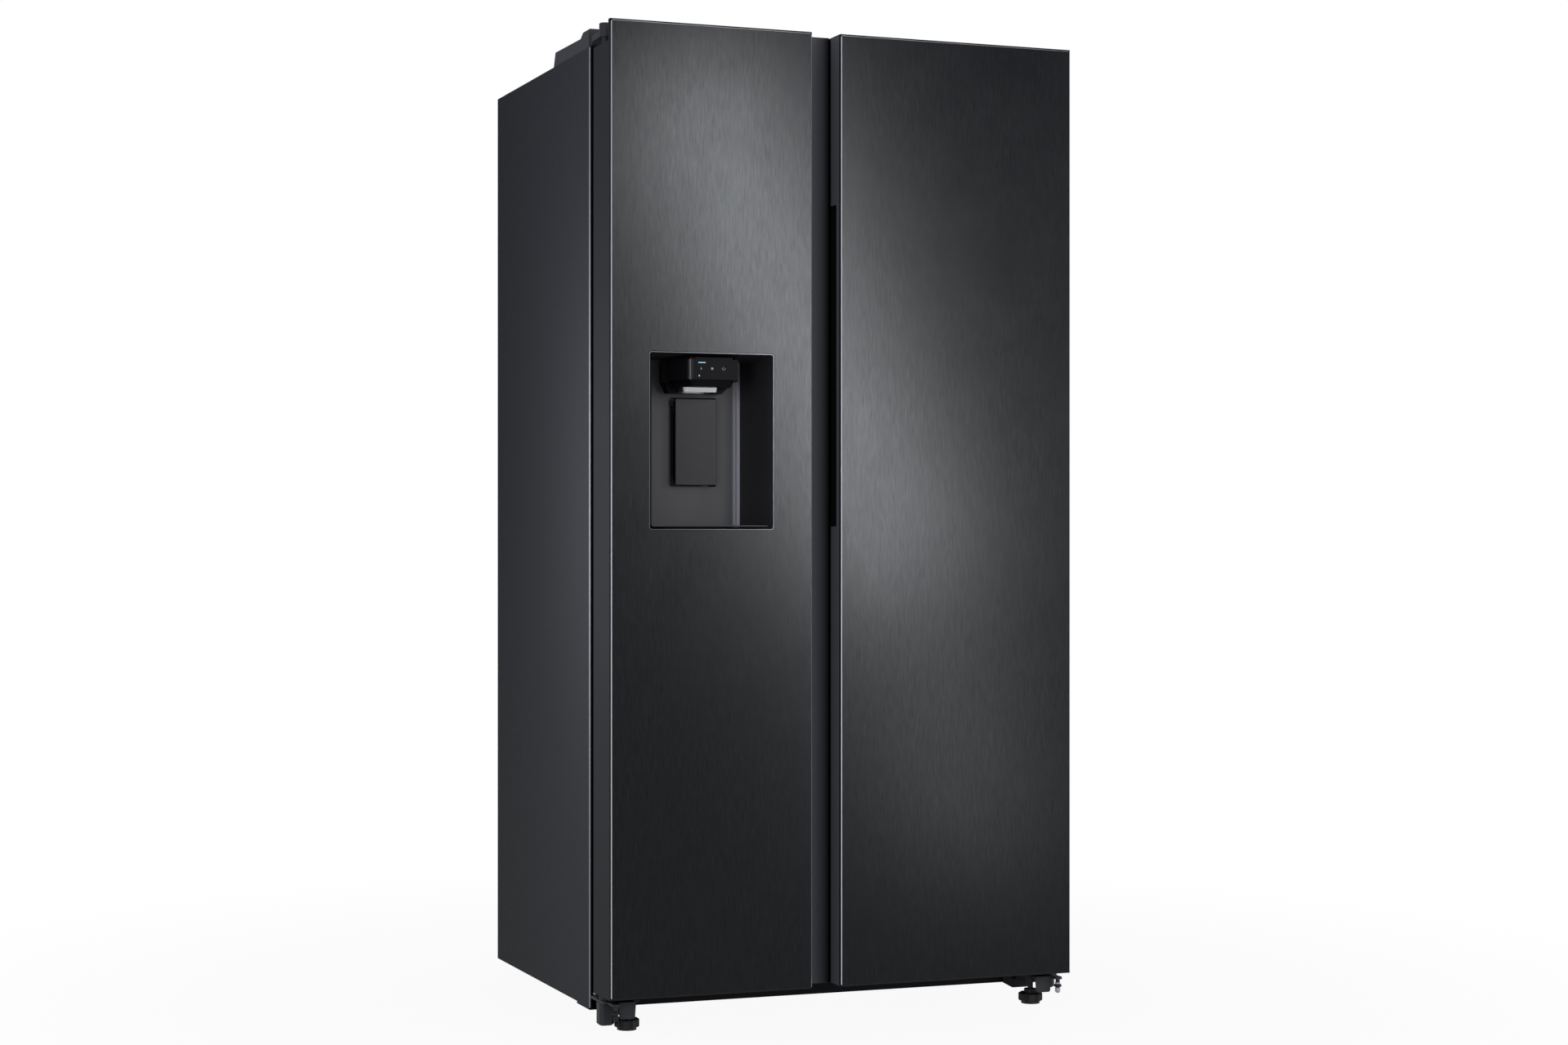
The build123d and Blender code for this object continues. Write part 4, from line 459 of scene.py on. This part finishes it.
def paint():
    """Gives every CAD node the finish of the real piece."""
    even = (1, 1, 1)
    made = {
        "painted_case": painted_steel(),
        "brushed_front": brushed_dark_steel(),
        "door_side_paint": door_paint(),
        "hinge_cover_plastic": hinge_cover_plastic(),
        "clear_plastic": clear_plastic(),
        "shelf_glass": shelf_glass(),
        "lamp_lens": lamp_lens(),
        "paddle_dark": paddle_metal(),
        "dispenser_grey": dispenser_plastic(),
        "dispenser_black": dispenser_head_acrylic(),
        "bezel_metal": bezel_metal(),
        # Door caps and grips: deep black with a faint mould spark
        "black_plastic": moulded(
            "moulded_black_abs", ("#0a0a0c", "#0e0e10"), 0.8, (0.48, 0.6), 0.02, Specular_IOR_Level=0.25),
        # Insulation: pale yellow, open and chalky
        "foam": moulded(
            "polyurethane_foam", ("#d8c07c", "#e6d196"), 3.0, (0.85, 0.95), 0.4),
        # Liners: smooth clean white with a soft sheen
        "white_liner": moulded(
            "vacuum_formed_white_abs", ("#e6e8e9", "#eceeee"), 1.2, (0.32, 0.42), 0.01),
        # Air ducts: white, flatter than the liners
        "duct_white": moulded(
            "moulded_white_abs", ("#dfe2e4", "#e5e8e9"), 0.9, (0.4, 0.5), 0.02),
        # Door seals: nearly black and dull, so the gap reads as a dark line
        "gasket_rubber": moulded(
            "dark_gasket_vinyl", ("#1b1c1d", "#212224"), 0.7, (0.55, 0.68), 0.02),
        # Shelf edges and ice maker: light satin grey
        "trim_plastic": moulded(
            "satin_grey_shelf_trim", ("#c3c7ca", "#cdd1d3"), 0.8, (0.3, 0.4), 0.01),
        # Feet and rollers: tough dull black
        "foot_plastic": moulded(
            "moulded_black_nylon", ("#08080a", "#0c0c0e"), 0.9, (0.45, 0.58), 0.03),
        # Fan blades and drain pan: plain mid grey
        "fan_plastic": moulded(
            "moulded_grey_polypropylene", ("#77797c", "#808285"), 0.9, (0.45, 0.55), 0.02),
        # Auger: slippery mid grey
        "auger_grey": moulded(
            "moulded_grey_acetal", ("#8b8f93", "#95999d"), 0.8, (0.35, 0.45), 0.01),
        # Hinges: satin grey paint, paler than the doors
        "hinge_paint": moulded(
            "satin_painted_hinge_steel", ("#3f4042", "#454648"), 1.6, (0.4, 0.5), 0.01,
            Specular_IOR_Level=0.25),
        # Compressor, base and bolts: black steel with a dull cloudy sheen
        "black_steel": sheet_metal(
            "black_oxide_steel", ("#1c1d1f", "#242527"), 4.0, even, (0.42, 0.58), 0.02),
        # Back and machine-room cover: zinc flakes in cool greys
        "galvanised": sheet_metal(
            "galvanised_steel", ("#878889", "#a4a5a6"), 16.0, even, (0.4, 0.56), 0.01),
        # Coils: bright drawn aluminium
        "coil_aluminium": sheet_metal(
            "drawn_aluminium", ("#a9acaf", "#c2c5c7"), 1.5, (8, 1, 1), (0.3, 0.42), 0.01),
        # Spout: satin silver plating
        "spout_silver": sheet_metal(
            "satin_silver_plating", ("#b4b6b9", "#c6c8ca"), 1.2, (20, 1, 1), (0.28, 0.36), 0.002),
    }
    for subpart in frame["record"]["subparts"]:
        shape = nodes[subpart["node"]].data
        finish = "hinge_paint" if subpart["node"] in HINGES else subpart["material_slot"]
        shape.materials.clear()
        shape.materials.append(made[finish])
    return made


def piece(name, form, body, finish):
    """Object from a finished form that moves with a body of the refrigerator."""
    bmesh.ops.recalc_face_normals(form, faces=form.faces)
    shape = bpy.data.meshes.new(name)
    form.to_mesh(shape)
    form.free()
    shape.materials.append(finish)
    made = bpy.data.objects.new(name, shape)
    bpy.context.collection.objects.link(made)
    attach(made, body)
    return made


def bead(form, centre, size, round_by):
    """Small raised block with rounded edges."""
    shape = Matrix.Diagonal([s * MM for s in size] + [1.0])
    place = Matrix.Translation(Vector(centre) * MM) @ shape
    made = bmesh.ops.create_cube(form, size=1.0, matrix=place)
    edges = list({edge for vert in made["verts"] for edge in vert.link_edges})
    bmesh.ops.bevel(form, geom=edges, offset=round_by * MM, affect="EDGES", segments=2, profile=0.5,
                    material=-1)


def screw(form, at, out, radius, height):
    """Pan-head screw with a dished drive recess, standing on a surface."""
    facing = Vector(out).to_track_quat("Z", "Y").to_matrix().to_4x4()
    place = Matrix.Translation(Vector(at) * MM) @ facing
    sizes = {"radius1": radius * MM, "radius2": 0.82 * radius * MM, "depth": height * MM}
    lifted = place @ Matrix.Translation((0, 0, height / 2 * MM))
    made = bmesh.ops.create_cone(form, cap_ends=True, segments=18, matrix=lifted, **sizes)
    faces = {face for vert in made["verts"] for face in vert.link_faces if len(face.verts) > 4}
    crown = max(faces, key=lambda face: face.calc_center_median().dot(Vector(out)))
    bmesh.ops.inset_region(form, faces=[crown], thickness=0.18 * radius * MM)
    bmesh.ops.inset_region(form, faces=[crown], thickness=0.24 * radius * MM)
    bmesh.ops.inset_region(form, faces=[crown], thickness=0.05 * radius * MM, depth=-0.5 * height * MM)


def turned(form, at, profile):
    """Solid of revolution round an upright axis, from radius and height pairs in mm."""
    verts = [form.verts.new(Vector((at[0] + radius, at[1], level)) * MM) for radius, level in profile]
    edges = [form.edges.new(pair) for pair in zip(verts, verts[1:])]
    centre = Vector((at[0], at[1], 0)) * MM
    bmesh.ops.spin(form, geom=verts + edges, cent=centre, axis=(0, 0, 1), angle=2 * math.pi, steps=24,
                   use_merge=True)
    bmesh.ops.remove_doubles(form, verts=form.verts, dist=0.005 * MM)


def dispenser_lights(glow):
    """Lit bar and dot on the dispenser head."""
    face_y = FRONT + HEAD_FACE
    form = bmesh.new()
    bead(form, (LEFT + 173.5, face_y, 1194.6), (14, 0.8, 1.5), 0.3)
    bead(form, (LEFT + 168.2, face_y, 1171), (2.2, 0.8, 2.2), 0.35)
    piece("indicator_lights", form, "freezer_door", glow)


def dispenser_marks(ink):
    """Plain marks for water, cubes and crushed ice on the dispenser head."""
    face_y = FRONT + HEAD_FACE
    form = bmesh.new()
    bead(form, (LEFT + 172, face_y, 1183), (2.2, 0.5, 2.2), 0.2)
    bead(form, (LEFT + 172, face_y, 1185.2), (0.9, 0.5, 2.4), 0.2)
    bead(form, (LEFT + 193, face_y, 1184), (4, 0.5, 4), 0.2)
    for across, up in ((-2.6, 0), (0, 2), (2.6, -0.4), (-0.6, -2)):
        bead(form, (LEFT + 215 + across, face_y, 1184 + up), (1.6, 0.5, 1.6), 0.2)
    piece("dispenser_marks", form, "freezer_door", ink)


def rear_screws(steel):
    """Screws round the rear sheet and along the machine-room cover."""
    backward = (0, 1, 0)
    form = bmesh.new()
    for side in (-1, 1):
        for level in SHEET_LEVELS:
            screw(form, (side * (RIGHT - SHEET_IN), REAR - SHEET_BACK, level), backward, *SHEET_SCREW)
        for level in COVER_LEVELS:
            screw(form, (side * (RIGHT - COVER_IN), REAR - COVER_BACK, level), backward, *COVER_SCREW)
    for across in ACROSS:
        screw(form, (across, REAR - SHEET_BACK, SHEET_TOP), backward, *SHEET_SCREW)
        screw(form, (across, REAR - COVER_BACK, COVER_TOP), backward, *COVER_SCREW)
    piece("rear_screws", form, "cabinet", steel)


def hinge_bolts(steel):
    """Bolts that hold the lower hinge brackets to the apron."""
    form = bmesh.new()
    for side in (-1, 1):
        for level in BOLT_LEVELS:
            for inward in BOLTS_IN:
                at = (side * (RIGHT - inward), FRONT + BRACKET_FACE, level)
                screw(form, at, (0, -1, 0), *BRACKET_BOLT)
    piece("hinge_bolts", form, "cabinet", steel)


def stop_pin(side):
    """Place of a lower hinge's stop pin; side is -1 on the left and 1 on the right."""
    return side * (RIGHT - STOP_IN), FRONT + STOP_BACK


def door_stop_cap(name, side, finish):
    """Domed cap and thin ring on the stop pin of a lower hinge."""
    form = bmesh.new()
    turned(form, stop_pin(side), STOP_CAP)
    turned(form, stop_pin(side), STOP_RING)
    piece(name, form, "cabinet", finish)


def door_stop_washers(plastic):
    """Thick black washer between cap and ring on each stop pin."""
    form = bmesh.new()
    for side in (-1, 1):
        turned(form, stop_pin(side), STOP_WASHER)
    piece("door_stop_washers", form, "cabinet", plastic)


def case_plug(plastic):
    """Plug low behind the left door, at the front fold of the case."""
    form = bmesh.new()
    screw(form, (LEFT + 9, FRONT + PLUG_BACK, 58), (0, -1, 0), *PLUG_HEAD)
    piece("case_plug", form, "cabinet", plastic)


def lamp(name, at, target, size, power, roll=0.0):
    """Soft rectangular lamp turned towards a target."""
    light = bpy.data.lights.new(name, "AREA")
    light.shape = "RECTANGLE"
    light.size, light.size_y = size
    light.energy = power
    placed = bpy.data.objects.new(name, light)
    aim = (Vector(target) - Vector(at)).to_track_quat("-Z", "Y").to_matrix().to_4x4()
    placed.matrix_world = Matrix.Translation(at) @ aim @ Matrix.Rotation(roll, 4, "Z")
    bpy.context.collection.objects.link(placed)
    return placed


def studio_world():
    """Room that is white to the eye, and dimmer in what it gives to matt and glossy surfaces."""
    world = bpy.data.worlds.new("studio")
    bpy.context.scene.world = world
    world.use_nodes = True
    tree = world.node_tree
    tree.nodes.clear()
    path = add(tree, "ShaderNodeLightPath")
    direct = {0: path.outputs["Is Camera Ray"], 1: path.outputs["Is Transmission Ray"]}
    clear = add(tree, "ShaderNodeMath", direct, operation="MAXIMUM")
    shares = {"Value": path.outputs["Is Glossy Ray"], "To Min": ROOM_LIGHT, "To Max": ROOM_GLOSS}
    room = add(tree, "ShaderNodeMapRange", shares)
    strength = add(tree, "ShaderNodeMix", {FACTOR: clear, VALUE_A: room, VALUE_B: 1.0})
    ends = {FACTOR: clear, COLOUR_A: linear(ROOM_TINT), COLOUR_B: linear("#ffffff")}
    tint = add(tree, "ShaderNodeMix", ends, data_type="RGBA")
    back = add(tree, "ShaderNodeBackground", {"Color": tint, "Strength": strength})
    add(tree, "ShaderNodeOutputWorld", {"Surface": back})


def studio_floor():
    """White paper floor that fades into the backdrop and keeps a faint shadow under the refrigerator."""
    shape = bpy.data.meshes.new("studio_floor")
    form = bmesh.new()
    bmesh.ops.create_grid(form, x_segments=1, y_segments=1, size=FLOOR_REACH)
    form.to_mesh(shape)
    form.free()
    floor = bpy.data.objects.new("studio_floor", shape)
    bpy.context.collection.objects.link(floor)
    white, tree = start("white_paper_floor")
    path = add(tree, "ShaderNodeLightPath")
    place = add(tree, "ShaderNodeTexCoord")
    away = add(tree, "ShaderNodeVectorMath", {0: place.outputs["Object"]}, operation="LENGTH")
    limits = {"Value": away.outputs["Value"], "From Min": 0.5, "From Max": 2.0,
              "To Min": FLOOR_NEAR, "To Max": 1.0}
    fade = add(tree, "ShaderNodeMapRange", limits)
    shown = {0: fade, 1: path.outputs["Is Camera Ray"]}
    seen = add(tree, "ShaderNodeMath", shown, operation="MULTIPLY")
    mirrored = {0: path.outputs["Is Glossy Ray"], 1: FLOOR_GLOSS, 2: seen}
    share = add(tree, "ShaderNodeMath", mirrored, operation="MULTIPLY_ADD")
    paper = add(tree, "ShaderNodeBsdfDiffuse", {"Color": linear("#909090")})
    lit = add(tree, "ShaderNodeEmission", {"Color": linear("#ffffff"), "Strength": 1.0})
    mixed = add(tree, "ShaderNodeMixShader", {0: share, 1: paper, 2: lit})
    add(tree, "ShaderNodeOutputMaterial", {"Surface": mixed})
    shape.materials.append(white)
    return floor


def studio():
    """White floor and backdrop, soft lamps, and two cards that only gleam in the door fronts."""
    studio_world()
    floor = studio_floor()
    gleam = lamp("door_gleam_card", (0.806, -2.56, 1.464), (0.806, -0.36, 1.464), (0.3, 1.53), 23.8,
                 roll=0.435)
    gleam.visible_diffuse = False
    tail = lamp("door_gleam_tail", (1.225, -2.56, 0.41), (1.225, -0.36, 0.41), (0.34, 0.9), 3.2, roll=0.3)
    tail.visible_diffuse = False
    # Lights the front of the left side panel, and isn't seen itself or in reflections
    side = lamp("side_panel_lamp", (-0.95, -0.34, 0.98), (-0.46, -0.34, 0.98), (0.15, 0.6), 2.6)
    side.visible_camera = False
    side.visible_glossy = False
    lamps = [
        lamp("left_softbox", (-2.4, -2.6, 1.2), (-0.3, -0.3, 1.0), (1.0, 1.6), 14),
        lamp("right_softbox", (3.6, -3.4, 1.8), (0.0, -0.36, 1.0), (1.2, 1.8), 32),
        lamp("top_softbox", (0.2, -0.2, 4.2), (0.0, 0.0, 1.8), (2.4, 2.0), 24),
    ]


def camera():
    """Camera at the photograph's place, with its lens and shift."""
    lens = bpy.data.cameras.new("photograph_view")
    lens.sensor_width = SENSOR
    lens.lens = FOCAL_PIXELS / IMAGE_SIZE[0] * SENSOR
    lens.shift_x = (IMAGE_SIZE[0] / 2 - AXIS_PIXEL[0]) / IMAGE_SIZE[0]
    lens.shift_y = (AXIS_PIXEL[1] - IMAGE_SIZE[1] / 2) / IMAGE_SIZE[0]
    placed = bpy.data.objects.new("photograph_view", lens)
    placed.location = CAMERA_AT
    placed.rotation_euler = (math.pi / 2, 0, -CAMERA_YAW)
    bpy.context.collection.objects.link(placed)
    bpy.context.scene.camera = placed


finishes = paint()
dispenser_lights(indicator_glow())
# Printed marks: pale grey ink, slightly raised and dull
dispenser_marks(moulded("pale_grey_ink", ("#a9abad", "#b9bbbd"), 0.6, (0.5, 0.6), 0.005))
# Rear screws: zinc-plated steel, bright and faintly clouded
zinc = sheet_metal("zinc_plated_steel", ("#8d9092", "#a5a8aa"), 6.0, (1, 1, 1), (0.35, 0.5), 0.01)
rear_screws(zinc)
hinge_bolts(finishes["black_steel"])
# Plug and right stop cap: white nylon, bright against the dark hinge
nylon = moulded("moulded_white_nylon", ("#e4e5e6", "#ececed"), 0.8, (0.35, 0.45), 0.01)
case_plug(nylon)
door_stop_cap("door_stop_cap_left", -1, finishes["foot_plastic"])
door_stop_cap("door_stop_cap_right", 1, nylon)
door_stop_washers(finishes["foot_plastic"])
studio()
camera()
bpy.context.scene.view_settings.view_transform = "Standard"
